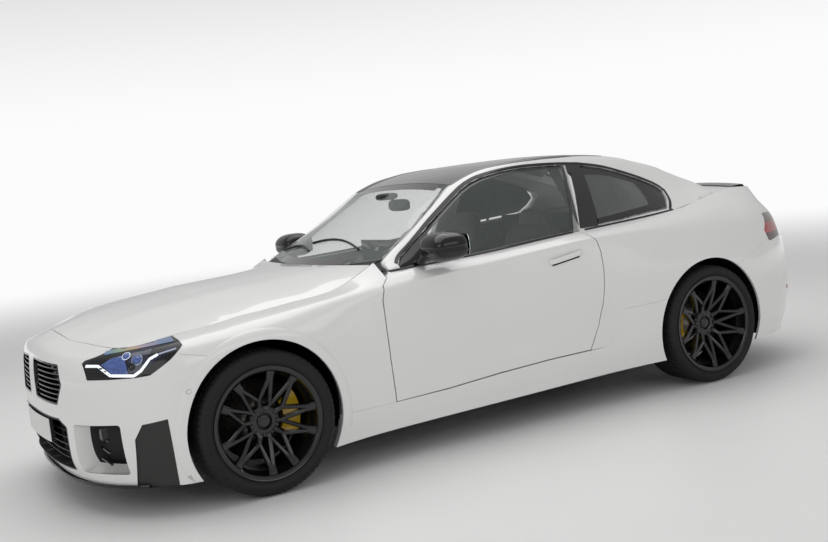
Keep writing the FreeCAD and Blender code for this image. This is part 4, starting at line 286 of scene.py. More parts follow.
def mesh_piece(name, points, faces, mat, body="root", slot=None, smooth=True, sharp=35.0):
    mesh = bpy.data.meshes.new(name)
    mesh.from_pydata([tuple(p) for p in points], [], faces)
    mesh.validate()
    piece = bpy.data.objects.new(name, mesh)
    bpy.context.scene.collection.objects.link(piece)
    work = bmesh.new()
    work.from_mesh(mesh)
    bmesh.ops.remove_doubles(work, verts=work.verts, dist=1e-6)
    bmesh.ops.recalc_face_normals(work, faces=work.faces)
    work.to_mesh(mesh)
    work.free()
    finish_mesh(piece, [mat], smooth, sharp)
    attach(piece, body)
    return piece


def finish_mesh(piece, mats, smooth=True, sharp=35.0):
    mesh = piece.data
    mesh.materials.clear()
    for mat in mats:
        mesh.materials.append(mat)
    if smooth:
        mesh.shade_smooth()
        mesh.set_sharp_from_angle(angle=math.radians(sharp))


def pair_piece(name, points, faces, mat, bodies=ROOT_PAIR, slot=None, smooth=True, sharp=35.0):
    # The left piece and its mirror image
    flipped = [Vector((p[0], -p[1], p[2])) for p in points]
    left = mesh_piece(name + "_left", points, faces, mat, bodies[0], slot, smooth, sharp)
    right = mesh_piece(name + "_right", flipped, faces, mat, bodies[1], slot, smooth, sharp)
    return left, right


def grid_faces(rows, columns, closed=False):
    faces = []
    wide = columns if closed else columns - 1
    for i in range(rows - 1):
        for j in range(wide):
            k = (j + 1) % columns
            faces.append((i * columns + j, i * columns + k, (i + 1) * columns + k, (i + 1) * columns + j))
    return faces


def between(a, b, k, n=1):
    # The value k of n steps on the way from a to b
    return a + (b - a) * k / n


def smooth_line(points, count):
    # A line through every given point, with evenly spaced points added between them
    points = [Vector(p) for p in points]
    out = []
    last = len(points) - 1
    for i in range(last):
        a, b = points[i], points[i + 1]
        before = points[i - 1] if i else a * 2 - b
        after = points[i + 2] if i + 2 <= last else b * 2 - a
        for k in range(count):
            t = k / count
            out.append(0.5 * ((b - before) * t + (before * 2 - a * 5 + b * 4 - after) * t * t
                              + (a * 3 - before - b * 3 + after) * t ** 3) + a)
    out.append(points[-1])
    return out


def sweep(line, section, ups):
    # A closed section carried along a line: section pairs are sideways and up
    points = []
    count = len(line)
    for i, p in enumerate(line):
        ahead = (line[min(i + 1, count - 1)] - line[max(i - 1, 0)]).normalized()
        up = ups[i] if isinstance(ups, list) else ups
        side = ahead.cross(up).normalized()
        upright = side.cross(ahead)
        points += [p + side * a + upright * b for a, b in section]
    wide = len(section)
    faces = grid_faces(count, wide, True)
    faces.append(tuple(range(wide))[::-1])
    faces.append(tuple(range((count - 1) * wide, count * wide)))
    return points, faces


def oval_section(wide, tall, count):
    turns = [2 * math.pi * k / count for k in range(count)]
    return [(wide * math.cos(a), tall * math.sin(a)) for a in turns]


def flat_section(width, height):
    edge = min(width, height) / 4
    w = width / 2
    return [(-w, 0), (-w, height - edge), (edge - w, height), (w - edge, height), (w, height - edge), (w, 0)]


def joined(shapes):
    # Several (points, faces) in one
    points = []
    faces = []
    for some, its in shapes:
        base = len(points)
        points += list(some)
        faces += [tuple(base + n for n in face) for face in its]
    return points, faces


def rounded_box(size, centre, bevel):
    # A box with rounded edges, about its middle
    work = bmesh.new()
    bmesh.ops.create_cube(work, size=1.0)
    bmesh.ops.scale(work, vec=Vector(size), verts=work.verts)
    bmesh.ops.bevel(work, geom=work.edges[:], offset=bevel, segments=3, profile=0.6, affect="EDGES")
    bmesh.ops.translate(work, vec=Vector(centre), verts=work.verts)
    work.verts.index_update()
    points = [v.co.copy() for v in work.verts]
    faces = [tuple(v.index for v in f.verts) for f in work.faces]
    work.free()
    return points, faces


def superellipsoid(centre, half, powers, columns=28, rows=18, shape=None):
    # A rounded closed form: powers over 2 make it squarer
    def curve(c, s, power):
        return (math.copysign(abs(c) ** (2 / power), c), math.copysign(abs(s) ** (2 / power), s))

    points = []
    for i in range(rows + 1):
        lift = -math.pi / 2 + math.pi * i / rows
        reach, height = curve(math.cos(lift), math.sin(lift), powers[1])
        for j in range(columns):
            turn = 2 * math.pi * j / columns
            a, b = curve(math.cos(turn), math.sin(turn), powers[0])
            p = Vector((a * reach, b * reach, height))
            if shape:
                p = shape(p)
            points.append(Vector([centre[n] + p[n] * half[n] for n in range(3)]))
    return points, grid_faces(rows + 1, columns, True)


# Places on the construction model

TREES = {}


def tree_of(*names):
    if names not in TREES:
        points = []
        faces = []
        for name in names:
            mesh = NODES[name].data
            base = len(points)
            points += [v.co.copy() for v in mesh.vertices]
            faces += [tuple(base + n for n in p.vertices) for p in mesh.polygons]
        TREES[names] = BVHTree.FromPolygons(points, faces)
    return TREES[names]


def cast(origin, direction, *names):
    place, normal = tree_of(*names).ray_cast(origin, direction)[:2]
    if place is None:
        place, normal = tree_of(*names).find_nearest(origin + direction * (HALF * 2))[:2]
    if normal.dot(direction) > 0:
        normal = -normal
    return place, normal


def seen(pixel, *names):
    # Where the photograph's line of sight through a pixel first meets the named pieces
    across = (pixel[0] - PHOTO_CENTRE[0]) / FOCAL
    rise = (PHOTO_CENTRE[1] - pixel[1]) / FOCAL
    line = FORWARD + RIGHT * across + UP * rise
    place, normal = tree_of(*names).ray_cast(CAMERA_PLACE, line.normalized())[:2]
    if place is None:
        # Past the edge: the nearest place on the pieces to the line of sight
        corners = [v.co for v in NODES[names[0]].data.vertices]
        reach = (sum(corners, Vector()) / len(corners) - CAMERA_PLACE).length
        probes = [CAMERA_PLACE + line.normalized() * (reach + step * 0.03) for step in range(-20, 21)]
        found = [tree_of(*names).find_nearest(probe) for probe in probes]
        place, normal = min(found, key=lambda hit: hit[3])[:2]
    if normal.dot(line) > 0:
        normal = -normal
    return place, normal


def beside(x, z, *names):
    return cast(Vector((x, WIDTH, z)), Vector((0, -1, 0)), *names)


def before(y, z, *names):
    return cast(Vector((LENGTH, y, z)), Vector((-1, 0, 0)), *names)


def above(x, y, *names):
    return cast(Vector((x, y, HEIGHT * 2)), Vector((0, 0, -1)), *names)


def behind(y, z, *names):
    return cast(Vector((-LENGTH, y, z)), Vector((1, 0, 0)), *names)


def lifted(hits, lift):
    return [p + n * lift for p, n in hits]


def lying_strip(hits, width, height, lift=0.0):
    # A thin strip lying along a surface
    return sweep(lifted(hits, lift), flat_section(width, height), [n for p, n in hits])


# Dressed pieces of the construction model

def dressed(node, mats, rule=None, sharp=28.0):
    # The node's own shape with evened shading, and an inner finish where the rule says so
    source = NODES[node]
    work = bmesh.new()
    work.from_mesh(source.data)
    bmesh.ops.remove_doubles(work, verts=work.verts, dist=2e-5)
    work.normal_update()
    if rule:
        for face in work.faces:
            face.material_index = rule(face.calc_center_median(), face.normal)
    mesh = bpy.data.meshes.new("dressed_" + node)
    work.to_mesh(mesh)
    work.free()
    piece = bpy.data.objects.new("dressed_" + node, mesh)
    bpy.context.scene.collection.objects.link(piece)
    finish_mesh(piece, mats, True, sharp)
    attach(piece, source["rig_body"])
    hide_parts(node)
    return piece


# Rules for the second finish: 1 on a panel's inner faces, 0 on its outer ones

def inner_side(centre, normal):
    out = centre - Vector((0, 0, 0.42 * HEIGHT))
    out.x *= 0.25
    return 1 if normal.dot(out.normalized()) < -0.1 else 0


def frame_side(centre, normal):
    # The window's cut walls and the inside of the rails
    side = 1 if centre.y > 0 else -1
    if abs(normal.y) < 0.03 and abs(normal.z) < 0.999 and centre.x > -1.20:
        return 1
    return 1 if normal.y * side < -0.12 or normal.z < -0.35 else 0


def nose_side(centre, normal):
    out = centre - Vector((FRONT_AXLE_X * 0.8, 0, 0.35 * HEIGHT))
    return 1 if normal.dot(out.normalized()) < -0.15 else 0


def tail_side(centre, normal):
    out = centre - Vector((REAR_AXLE_X * 0.8, 0, 0.40 * HEIGHT))
    return 1 if normal.dot(out.normalized()) < -0.15 else 0


def under_side(centre, normal):
    return 1 if normal.z < -0.2 else 0


def door_side(centre, normal):
    side = 1 if centre.y > 0 else -1
    shell = HALF - 0.075 - 0.09 * (centre.z > 0.62 * HEIGHT)
    return 0 if normal.y * side > -0.2 and abs(centre.y) > shell else 1


def trim_side(centre, normal):
    # Corner blades in grey, and the intake's grille and the splitter in black
    return 0 if abs(centre.y) > 0.80 * HALF and centre.z > 0.11 * HEIGHT else 1


BODY_FINISHES = (
    ("front_bumper front_fenders", (PAINT, MATTE), nose_side),
    ("hood", (PAINT, STEEL), under_side),
    ("roof_frames", (PAINT, SATIN), frame_side),
    ("quarter_panels", (PAINT, STEEL), tail_side),
    ("rear_bumper", (PAINT, MATTE), tail_side),
    ("side_skirts", (PAINT, MATTE), inner_side),
    ("boot_lid", (PAINT, STEEL), tail_side),
    ("door_left", (PAINT, PLASTIC), door_side),
    ("door_glass_left", (GLASS,), None),
    ("door_right", (PAINT, PLASTIC), door_side),
    ("door_glass_right", (GLASS,), None),
    ("roof_panel", (ROOF, CLOTH), under_side),
    ("windshield rear_window quarter_windows", (GLASS,), None),
    ("cowl", (SATIN,), None),
    ("front_trim", (GREY, GLOSS), trim_side),
    ("kidney_grilles", (GLOSS,), None),
    ("rear_diffuser", (SATIN,), None),
    ("side_frames boot_frame", (STEEL,), None),
    ("door_seals", (RUBBER,), None),
    ("front_structure", (STEEL,), None),
    ("floor_pan", (MATTE,), None),
    ("engine_block", (ENGINE,), None),
    ("exhaust", (CHROME,), None),
    ("wheel_liners", (BLACK_AND_SHADE,), None),
    ("front_suspension rear_suspension", (CAST,), None),
    ("rear_calipers", (YELLOW,), None),
)


def dress_body():
    for nodes, mats, rule in BODY_FINISHES:
        for node in nodes.split():
            dressed(node, mats, rule)
    for side, sign in SIDES:
        dressed("knuckle_" + side, [CAST])
        dressed("front_caliper_" + side, [YELLOW])
        for end in ("front", "rear"):
            dressed("brake_disc_%s_%s" % (end, side), [IRON])


# Wheels: tyre radius, half width, rim radius, middle's distance from the centre line, disc radius

WHEEL_SIZES = {
    "front": (0.334, 0.134, 0.250, 0.8085, 0.190),
    "rear": (0.336, 0.140, 0.262, 0.8025, 0.185),
}
HUB_FACE = 0.054
DISC_FACE = -0.042
RIM_STEPS = 120


class Corner:
    def __init__(self, end, side, sign):
        self.name = end + "_" + side
        self.body = "wheel_" + self.name
        self.sign = sign
        self.x = FRONT_AXLE_X if end == "front" else REAR_AXLE_X
        self.radius, self.half, self.rim, self.y, self.disc = WHEEL_SIZES[end]

    def place(self, r, turn, s, centre=None):
        # Radius, angle from the top and distance outwards, about the axle or about another centre
        x, z = (self.x, self.radius) if centre is None else (centre.x, centre.z)
        return Vector((x + r * math.sin(turn), self.sign * (self.y + s), z + r * math.cos(turn)))

    def turned(self, profile, segments, lower=None, centre=None):
        points = []
        for n in range(segments):
            turn = 2 * math.pi * n / segments
            for k, (r, s) in enumerate(profile):
                points.append(self.place(r - (lower(n, k, s) if lower else 0.0), turn, s, centre))
        wide = len(profile)
        last = (segments - 1) * wide
        faces = grid_faces(segments, wide)
        return points, faces + [(last + j, last + j + 1, j + 1, j) for j in range(wide - 1)]


CORNERS = [Corner(end, side, sign) for end in ("front", "rear") for side, sign in SIDES]
TREAD_PITCHES = 76
PITCH_STEPS = 4
GROOVE_DEPTH = 0.006
GROOVE_HALF = 0.0045
GROOVE_SHARES = (-0.50, -0.17, 0.17, 0.50)
SIPE_DEPTH = 0.0035

# Sidewall: share of the wall's height from rim to tread, and how far it lies inside the half width
WALL_SHARES = [
    (0.40, 0.0012), (0.52, 0.0), (0.53, 0.0014), (0.66, 0.0022), (0.67, 0.0008), (0.75, 0.0040),
    (0.84, 0.0100), (0.91, 0.0160), (0.955, 0.0225),
]
BEAD = [
    (0.002, 0.0155), (0.0135, 0.0150), (0.0160, 0.0090), (0.0210, 0.0050), (0.0235, 0.0045), (0.0245, 0.0060),
]


def tyre_profile(c):
    # From the outer bead over the sidewall and tread to the inner bead
    r, h, rim = c.radius, c.half, c.rim
    wall = r - rim
    side = [(rim + a, h - b) for a, b in BEAD]
    side += [(rim + share * wall, h - b) for share, b in WALL_SHARES] + [(r - 0.0012, h - 0.0310)]
    tread = []
    for share in GROOVE_SHARES[::-1]:
        s = share * h
        tread += [(r, s + 2.2 * GROOVE_HALF), (r, s + GROOVE_HALF), (r - GROOVE_DEPTH, s + 0.6 * GROOVE_HALF),
                  (r - GROOVE_DEPTH, s - 0.6 * GROOVE_HALF), (r, s - GROOVE_HALF)]
    return side + tread + [(a, -b) for a, b in side[::-1]]


def build_tyres():
    for c in CORNERS:
        profile = tyre_profile(c)
        low, high = c.half * 0.55, c.half - 0.012

        def sipe(n, k, s):
            # Cross cuts in the shoulders, and shallower ones in the middle ribs
            if low < abs(s) < high and profile[k][0] > c.rim + 0.83 * (c.radius - c.rim):
                return SIPE_DEPTH if n % PITCH_STEPS == 0 else 0.0
            if abs(s) < low and (n + (2 if s > 0 else 0)) % (2 * PITCH_STEPS) == 0:
                return SIPE_DEPTH * 0.7
            return 0.0

        points, faces = c.turned(profile, TREAD_PITCHES * PITCH_STEPS, sipe)
        tyre = mesh_piece("tread_tyre_" + c.name, points, faces, TYRE, c.body, "tyre_rubber", True, 24.0)
        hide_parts("tyre_" + c.name)


PAIRS = 5
PAIR_TURN = math.radians(-23.7)
TIP_TURN = math.radians(14.5)
FORK_SPREAD = math.radians(1.3)
TIP_SHARE = 0.965
FORK_SHARE = 0.80
OUTER_NODE_SHARE = 0.43
INNER_NODE_SHARE = 0.31
HUB_SHARE = 0.27


def spoke_level(c, share):
    # How far out the spokes' front lies at a share of the radius
    lip = c.half - 0.012
    hub = HUB_FACE + 0.010
    t = min(max((share - HUB_SHARE) / (TIP_SHARE - HUB_SHARE), 0.0), 1.0)
    return hub + (lip - hub) * (0.35 * t + 0.65 * math.sin(t * math.pi / 2))


def beam(c, stations):
    # A ridge-backed bar through stations of (radius share, angle, width, depth)
    size = c.rim - 0.008
    out = Vector((0, c.sign, 0))
    points = []
    for k, (share, turn, width, depth) in enumerate(stations):
        centre = c.place(share * size, turn, spoke_level(c, share))
        other = stations[min(k + 1, len(stations) - 1)]
        first = stations[max(k - 1, 0)]
        run = c.place(other[0] * size, other[1], 0) - c.place(first[0] * size, first[1], 0)
        side = run.cross(out).normalized()
        w = width / 2
        section = [(-w * 0.55, 0.0), (w * 0.55, 0.0), (w, -0.005), (w * 1.12, -depth), (-w * 1.12, -depth),
                   (-w, -0.005)]
        points += [centre + side * a + out * b for a, b in section]
    faces = grid_faces(len(stations), 6, True)
    faces += [(5, 4, 3, 2, 1, 0), tuple(range((len(stations) - 1) * 6, len(stations) * 6))]
    return points, faces


def straight(c, start, end, widths, depth, count=6):
    # A straight bar between two places, each a share of the radius and a turn
    stations = []
    for k in range(count):
        t = k / (count - 1)
        up = start[0] * math.cos(start[1]) * (1 - t) + end[0] * math.cos(end[1]) * t
        over = start[0] * math.sin(start[1]) * (1 - t) + end[0] * math.sin(end[1]) * t
        stations.append((math.hypot(up, over), math.atan2(over, up), between(*widths, t), depth))
    return beam(c, stations)


def split_blades(c):
    # Five pairs of blades, each blade forked: one leg to the pair's own inner node, and one to the
    # outer node that it shares with the next pair
    shapes = []
    foot = HUB_SHARE - 0.04
    for n in range(PAIRS):
        middle = PAIR_TURN - 2 * math.pi * n / PAIRS
        for way in (-1, 1):
            tip = middle + way * TIP_TURN
            spread = FORK_SPREAD * way
            beyond = middle + way * math.pi / PAIRS
            fork = FORK_SHARE + 0.05
            leg = (0.021, 0.019)
            shapes.append(straight(c, (TIP_SHARE + 0.01, tip), (FORK_SHARE, tip), (0.038, 0.033), 0.022))
            shapes.append(straight(c, (fork, tip + spread), (OUTER_NODE_SHARE, beyond), leg, 0.026))
            shapes.append(straight(c, (fork, tip - spread), (INNER_NODE_SHARE, middle), leg, 0.028))
        beyond = middle + math.pi / PAIRS
        shapes.append(straight(c, (OUTER_NODE_SHARE + 0.03, beyond), (foot, beyond), (0.017, 0.030), 0.032))
        shapes.append(straight(c, (INNER_NODE_SHARE + 0.05, middle), (foot, middle), (0.016, 0.030), 0.032))
    return shapes


HUB_PROFILE = [
    (0.016, -0.036), (0.078, -0.036), (0.078, -0.004), (0.070, 0.004), (0.044, 0.007), (0.038, 0.004),
    (0.034, -0.006), (0.016, -0.006),
]
CAP_PROFILE = [(0.0, 0.0085), (0.020, 0.0080), (0.028, 0.0055), (0.0315, 0.001), (0.0315, -0.006)]
BOLT_PROFILE = [
    (0.0, 0.004), (0.0065, 0.004), (0.0085, 0.002), (0.0085, -0.004), (0.0125, -0.001), (0.0125, -0.012),
]
BOLT_CIRCLE = 0.056


def rim_profiles(c):
    # The barrel, and the outer flange, both as closed loops
    size = c.rim
    lip = c.half - 0.0135
    edge = c.half - 0.007
    barrel = [(size - 0.012, edge - 0.030), (size - 0.009, edge - 0.010), (size - 0.004, edge - 0.004),
              (size + 0.004, edge - 0.0035), (size + 0.009, edge), (size + 0.012, edge - 0.001),
              (size + 0.0125, lip), (size - 0.001, lip), (size - 0.001, lip - 0.03),
              (size - 0.018, lip - 0.05), (size - 0.018, 0.05 - lip), (size - 0.001, 0.03 - lip),
              (size - 0.001, -lip), (size + 0.0125, -lip), (size + 0.011, -edge), (size - 0.006, -edge),
              (size - 0.010, 0.034 - lip), (size - 0.026, 0.056 - lip), (size - 0.026, lip - 0.056),
              (size - 0.014, lip - 0.036), (size - 0.012, edge - 0.030)]
    flange = [(size - 0.0125, edge - 0.020), (size - 0.010, edge - 0.006), (size - 0.004, edge - 0.0015),
              (size + 0.004, edge - 0.001), (size + 0.0095, edge + 0.0015), (size + 0.0125, edge),
              (size + 0.0125, edge - 0.004), (size, edge - 0.006), (size - 0.006, edge - 0.020)]
    return barrel, flange + flange[:1]


def on_face(profile):
    return [(r, HUB_FACE + s) for r, s in profile]


def build_rims():
    for c in CORNERS:
        barrel, flange = rim_profiles(c)
        look = (c.body, "rim_black", True, 30.0)
        mesh_piece("rim_barrel_" + c.name, *c.turned(barrel, RIM_STEPS), RIM_DARK, *look)
        shapes = [c.turned(flange, RIM_STEPS)] + split_blades(c) + [c.turned(on_face(HUB_PROFILE), 60)]
        rim = mesh_piece("spoked_rim_" + c.name, *joined(shapes), RIM, *look)
        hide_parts("rim_" + c.name)
        mesh_piece("hub_cap_" + c.name, *c.turned(on_face(CAP_PROFILE), 48), RIM, c.body, "rim_black")
        bolts = []
        for n in range(5):
            centre = c.place(BOLT_CIRCLE, 2 * math.pi * (n + 0.25) / 5, 0)
            bolts.append(c.turned(on_face(BOLT_PROFILE), 6, None, centre))
        mesh_piece("wheel_bolts_" + c.name, *joined(bolts), CAST, c.body, "cast_metal", True, 20.0)


def build_disc_hole_shades():
    # Drilled holes, as small dark cups let into the disc's outer face: their black is painted shade in the
    # holes
    face = DISC_FACE + 0.016
    cup = [(0.0, face + 0.0004), (0.0038, face + 0.0004), (0.0048, face)]
    for c in CORNERS:
        shapes = []
        for n in range(36):
            for k in range(3):
                turn = 2 * math.pi * (n + k / 3) / 36
                centre = c.place(c.disc - 0.018 - 0.022 * k, turn, 0)
                shapes.append(c.turned(cup, 8, None, centre))
        mesh_piece("disc_hole_shade_" + c.name, *joined(shapes), BLACK_AND_SHADE, c.body, "disc_iron")


# Side view tables: place along the car and share of the height

WINDOW_TOP_SHARES = [
    (0.3000, 0.6700), (0.3121, 0.6915), (0.3415, 0.7251), (0.3697, 0.7599), (0.3980, 0.7973),
    (0.4252, 0.8320), (0.4527, 0.8672), (0.4810, 0.9011), (0.5050, 0.9230), (0.5320, 0.9388),
    (0.5807, 0.9526), (0.6293, 0.9573), (0.6783, 0.9561), (0.7285, 0.9511),
]
QUARTER_TOP_SHARES = [
    (0.7758, 0.9430), (0.8337, 0.9223), (0.8861, 0.8921), (0.9387, 0.8551), (0.9740, 0.8200),
    (0.9850, 0.7950),
]
QUARTER_END_SHARES = [(0.9850, 0.7950), (0.9790, 0.7600), (0.9600, 0.7250)]
QUARTER_FRONT_SHARES = [(0.7588, 0.7000), (0.7758, 0.9430)]
QUARTER_CLEAR_SHARES = [
    (0.7660, 0.7270), (0.7800, 0.9050), (0.8337, 0.8930), (0.8861, 0.8640), (0.9387, 0.8260),
    (0.9640, 0.8000), (0.9590, 0.7560),
]
DOOR_GLASS_REAR_SHARES = [(0.7000, 0.7000), (0.7393, 0.9505)]
# With the share of the half width between them
BELT_SHARES = [
    (0.2785, 0.850, 0.651), (0.366, 0.855, 0.657), (0.476, 0.860, 0.664), (0.538, 0.860, 0.671),
    (0.640, 0.857, 0.6835), (0.692, 0.854, 0.688),
]
REAR_BELT_SHARES = [
    (0.722, 0.852, 0.691), (0.766, 0.848, 0.6945), (0.898, 0.836, 0.707), (0.968, 0.818, 0.7155),
]
# Seen from above: place along the car and share of the half width
ROOF_EDGE_SHARES = [
    (0.478, 0.606), (0.515, 0.604), (0.549, 0.606), (0.590, 0.618), (0.638, 0.622), (0.688, 0.621),
    (0.741, 0.614), (0.790, 0.597), (0.830, 0.580), (0.862, 0.566),
]


def along(share):
    # 0 is the front axle, 1 the rear axle, -1 the nose and 2 the tail
    if share < 0:
        return FRONT_AXLE_X - share * FRONT_OVERHANG
    if share <= 1:
        return FRONT_AXLE_X - share * WHEELBASE
    return REAR_AXLE_X - (share - 1) * REAR_OVERHANG


def at(pairs):
    return [(along(a), z * HEIGHT) for a, z in pairs]


def even(pairs, count):
    # Evenly spaced points along a smooth line, the two ends included
    line = [Vector((a, 0, b)) for a, b in pairs]
    if len(line) > 2:
        line = smooth_line(line, 12)
    reach = [0.0]
    for a, b in zip(line, line[1:]):
        reach.append(reach[-1] + (b - a).length)
    out = []
    for n in range(count):
        want = reach[-1] * n / (count - 1)
        i = 0
        while i < len(reach) - 2 and want > reach[i + 1]:
            i += 1
        t = (want - reach[i]) / (reach[i + 1] - reach[i])
        p = line[i].lerp(line[i + 1], t)
        out.append((p.x, p.z))
    return out


def offset_line(pairs, by):
    # The line set off sideways: downwards where it runs rearwards, rearwards where it runs up
    out = []
    for i, (x, z) in enumerate(pairs):
        a = pairs[max(i - 1, 0)]
        b = pairs[min(i + 1, len(pairs) - 1)]
        run = Vector((b[0] - a[0], b[1] - a[1])).normalized()
        out.append((x - run.y * by, z + run.x * by))
    return out


def plate(rows, lifts, wall):
    # A thin closed panel over a grid of surface places, with a lift for each column
    wide = len(rows[0])
    if not isinstance(lifts, (list, tuple)):
        lifts = [lifts] * wide
    high = [p + n * (lift + wall) for row in rows for (p, n), lift in zip(row, lifts)]
    low = [p + n * lift for row in rows for (p, n), lift in zip(row, lifts)]
    down = len(rows)
    size = down * wide
    top = grid_faces(down, wide)
    faces = top + [tuple(size + k for k in face[::-1]) for face in top]
    rim = list(range(wide)) + [i * wide + wide - 1 for i in range(1, down)]
    rim += [(down - 1) * wide + j for j in range(wide - 2, -1, -1)]
    rim += [i * wide for i in range(down - 2, 0, -1)]
    for a, b in zip(rim, rim[1:] + rim[:1]):
        faces.append((b, a, size + a, size + b))
    return high + low, faces


def side_rows(first, second, columns, *names):
    # Places on the pieces' left side, between two lines on the side view
    last = columns - 1
    rows = []
    for (x0, z0), (x1, z1) in zip(first, second):
        spots = [(between(x0, x1, k, last), between(z0, z1, k, last)) for k in range(columns)]
        rows.append([beside(x, z, *names) for x, z in spots])
    return rows


# Greenhouse

TRIM_WIDTH = 0.015
TRIM_WALL = 0.0025
BORDER = (0.0003, 0.0008)
SCREEN_BORDER = (0.0003, 0.0006)
ROOF_PANEL_HALF = 0.527


def build_roof_edges():
    # The black roof's outer edge, which laps over the rail
    line = smooth_line([Vector((along(a), y * HALF, 0)) for a, y in ROOF_EDGE_SHARES], 8)
    lifts = (0.001, 0.001, 0.001, 0.001, 0.001, 0.0)
    for side, sign in SIDES:
        rows = []
        for p in line:
            places = [sign * between(ROOF_PANEL_HALF, p.y, t) for t in (0.0, 0.25, 0.5, 0.75, 0.95, 1.0)]
            rows.append([above(p.x, y, "roof_panel", "roof_frames") for y in places])
        mesh_piece("roof_edge_" + side, *plate(rows, lifts, 0.0008), ROOF, "root", "roof_black")


def build_window_trims():
    top = even(at(WINDOW_TOP_SHARES), 60)
    line = top + even(at(QUARTER_TOP_SHARES), 24) + even(at(QUARTER_END_SHARES), 8)[1:]
    rows = side_rows(offset_line(line, -0.001), offset_line(line, -TRIM_WIDTH), 3, "roof_frames")
    pair_piece("window_trim", *plate(rows, (0.0002, 0.001, 0.0002), TRIM_WALL), GLOSS, slot="trim_black")
    rows = side_rows(offset_line(top[2:], 0.006), offset_line(top[2:], 0.020), 3, "door_glass_left")
    pair_piece("door_glass_border", *plate(rows, *BORDER), FRIT, DOORS, "trim_black")
    rear = even(at(DOOR_GLASS_REAR_SHARES), 16)
    front = even(at(QUARTER_FRONT_SHARES), 16)
    rows = side_rows(offset_line(rear, 0.004), offset_line(front, -0.002), 6, "roof_frames")
    pair_piece("pillar_cover", *plate(rows, 0.0005, TRIM_WALL), GREY_GLOSS, slot="trim_black")
    rows = side_rows(offset_line(rear, -0.004), offset_line(rear, -0.020), 3, "door_glass_left")
    pair_piece("door_glass_rear_border", *plate(rows, *BORDER), FRIT, DOORS, "trim_black")


def build_quarter_border():
    clear = at(QUARTER_CLEAR_SHARES)
    foot, peak, back, low = clear[0], clear[1], clear[-2], clear[-1]
    end = at(QUARTER_END_SHARES)
    outer = even(at(QUARTER_FRONT_SHARES), 12)[:-1] + even(at(QUARTER_TOP_SHARES), 26)[:-1]
    outer += even(end, 8)[:-1] + even([end[-1], at(QUARTER_FRONT_SHARES)[0]], 20)
    inner = even([foot, peak], 12)[:-1] + even(clear[1:-1], 26)[:-1]
    inner += even([back, low], 8)[:-1] + even([low, foot], 20)
    rows = side_rows(outer, inner, 5, "quarter_windows")
    pair_piece("quarter_border", *plate(rows, *BORDER), GREY_GLOSS, slot="trim_black")


BELT_SECTION = [
    (-0.008, -0.003), (-0.008, 0.005), (-0.004, 0.008), (0.003, 0.008), (0.008, 0.004), (0.008, -0.003),
]


def build_belt_trims():
    for name, table, bodies in (("belt_trim", BELT_SHARES, DOORS),
                                ("rear_belt_trim", REAR_BELT_SHARES, ROOT_PAIR)):
        places = [(along(a), y * HALF - 0.004, z * HEIGHT + 0.001) for a, y, z in table]
        belt = sweep(smooth_line(places, 10), BELT_SECTION, SKYWARD)
        pair_piece(name, *belt, GLOSS, bodies, "trim_black")


def build_sail_panels():
    # Black corner piece where the mirror stands
    upper = even(offset_line(even(at(WINDOW_TOP_SHARES[:5]), 12), 0.006), 12)
    foot = at([(a, z) for a, y, z in BELT_SHARES])
    lower = even([(upper[0][0] - 0.01, foot[0][1] + 0.010), (0.52, foot[1][1] + 0.012)], 12)
    rows = side_rows(upper, lower, 5, "door_glass_left", "door_left")
    pair_piece("mirror_panel", *plate(rows, 0.0006, 0.003), GLOSS, DOORS, "trim_black")


def edge_at(node, axis, value, other, pick):
    return pick([v.co[other] for v in NODES[node].data.vertices if abs(v.co[axis] - value) < 0.05])


def build_screen_borders():
    # Dark printed border round the windscreen and the rear window
    for node, name in (("windshield", "screen_border"), ("rear_window", "rear_border")):
        xs = [v.co.x for v in NODES[node].data.vertices]
        low, high = min(xs), max(xs)
        bands = []
        for sign in (1, -1):
            rows = []
            for x in [low + (high - low) * (0.04 + 0.92 * k / 24) for k in range(25)]:
                edge = edge_at(node, 0, x, 1, max)
                rows.append([above(x, sign * (edge - back), node) for back in (0.006, 0.018, 0.030)])
            bands.append(plate(rows, *SCREEN_BORDER))
        for pick, way in ((max, -1), (min, 1)):
            rows = []
            for k in range(31):
                y = (k / 30 * 2 - 1) * 0.47
                edge = edge_at(node, 1, y, 0, pick)
                rows.append([above(edge + way * back, y, node) for back in (0.008, 0.030, 0.055)])
            bands.append(plate(rows, *SCREEN_BORDER))
        mesh_piece(name, *joined(bands), FRIT, "root", "trim_black")


# Mirrors, handles, spoiler and aerial

MIRROR_X = 0.445
MIRROR_Y = 0.932
MIRROR_Z = 1.008
MIRROR_HALF = (0.104, 0.114, 0.072)
MIRROR_POWERS = (3.6, 3.0)
MIRROR_FOOT = [(0.520, 0.790, 0.935), (0.520, 0.830, 0.945), (0.508, 0.865, 0.972), (0.500, 0.900, 0.992)]


def mirror_shape(p):
    # Fuller at the front, flat towards the glass, and slimmer at its outer end
    z = p.z * (1 - 0.16 * max(p.y, 0) ** 2)
    if p.x < 0:
        return Vector((p.x * 0.90, p.y, z))
    return Vector((p.x * (1 - 0.22 * p.z * p.z), p.y, z))


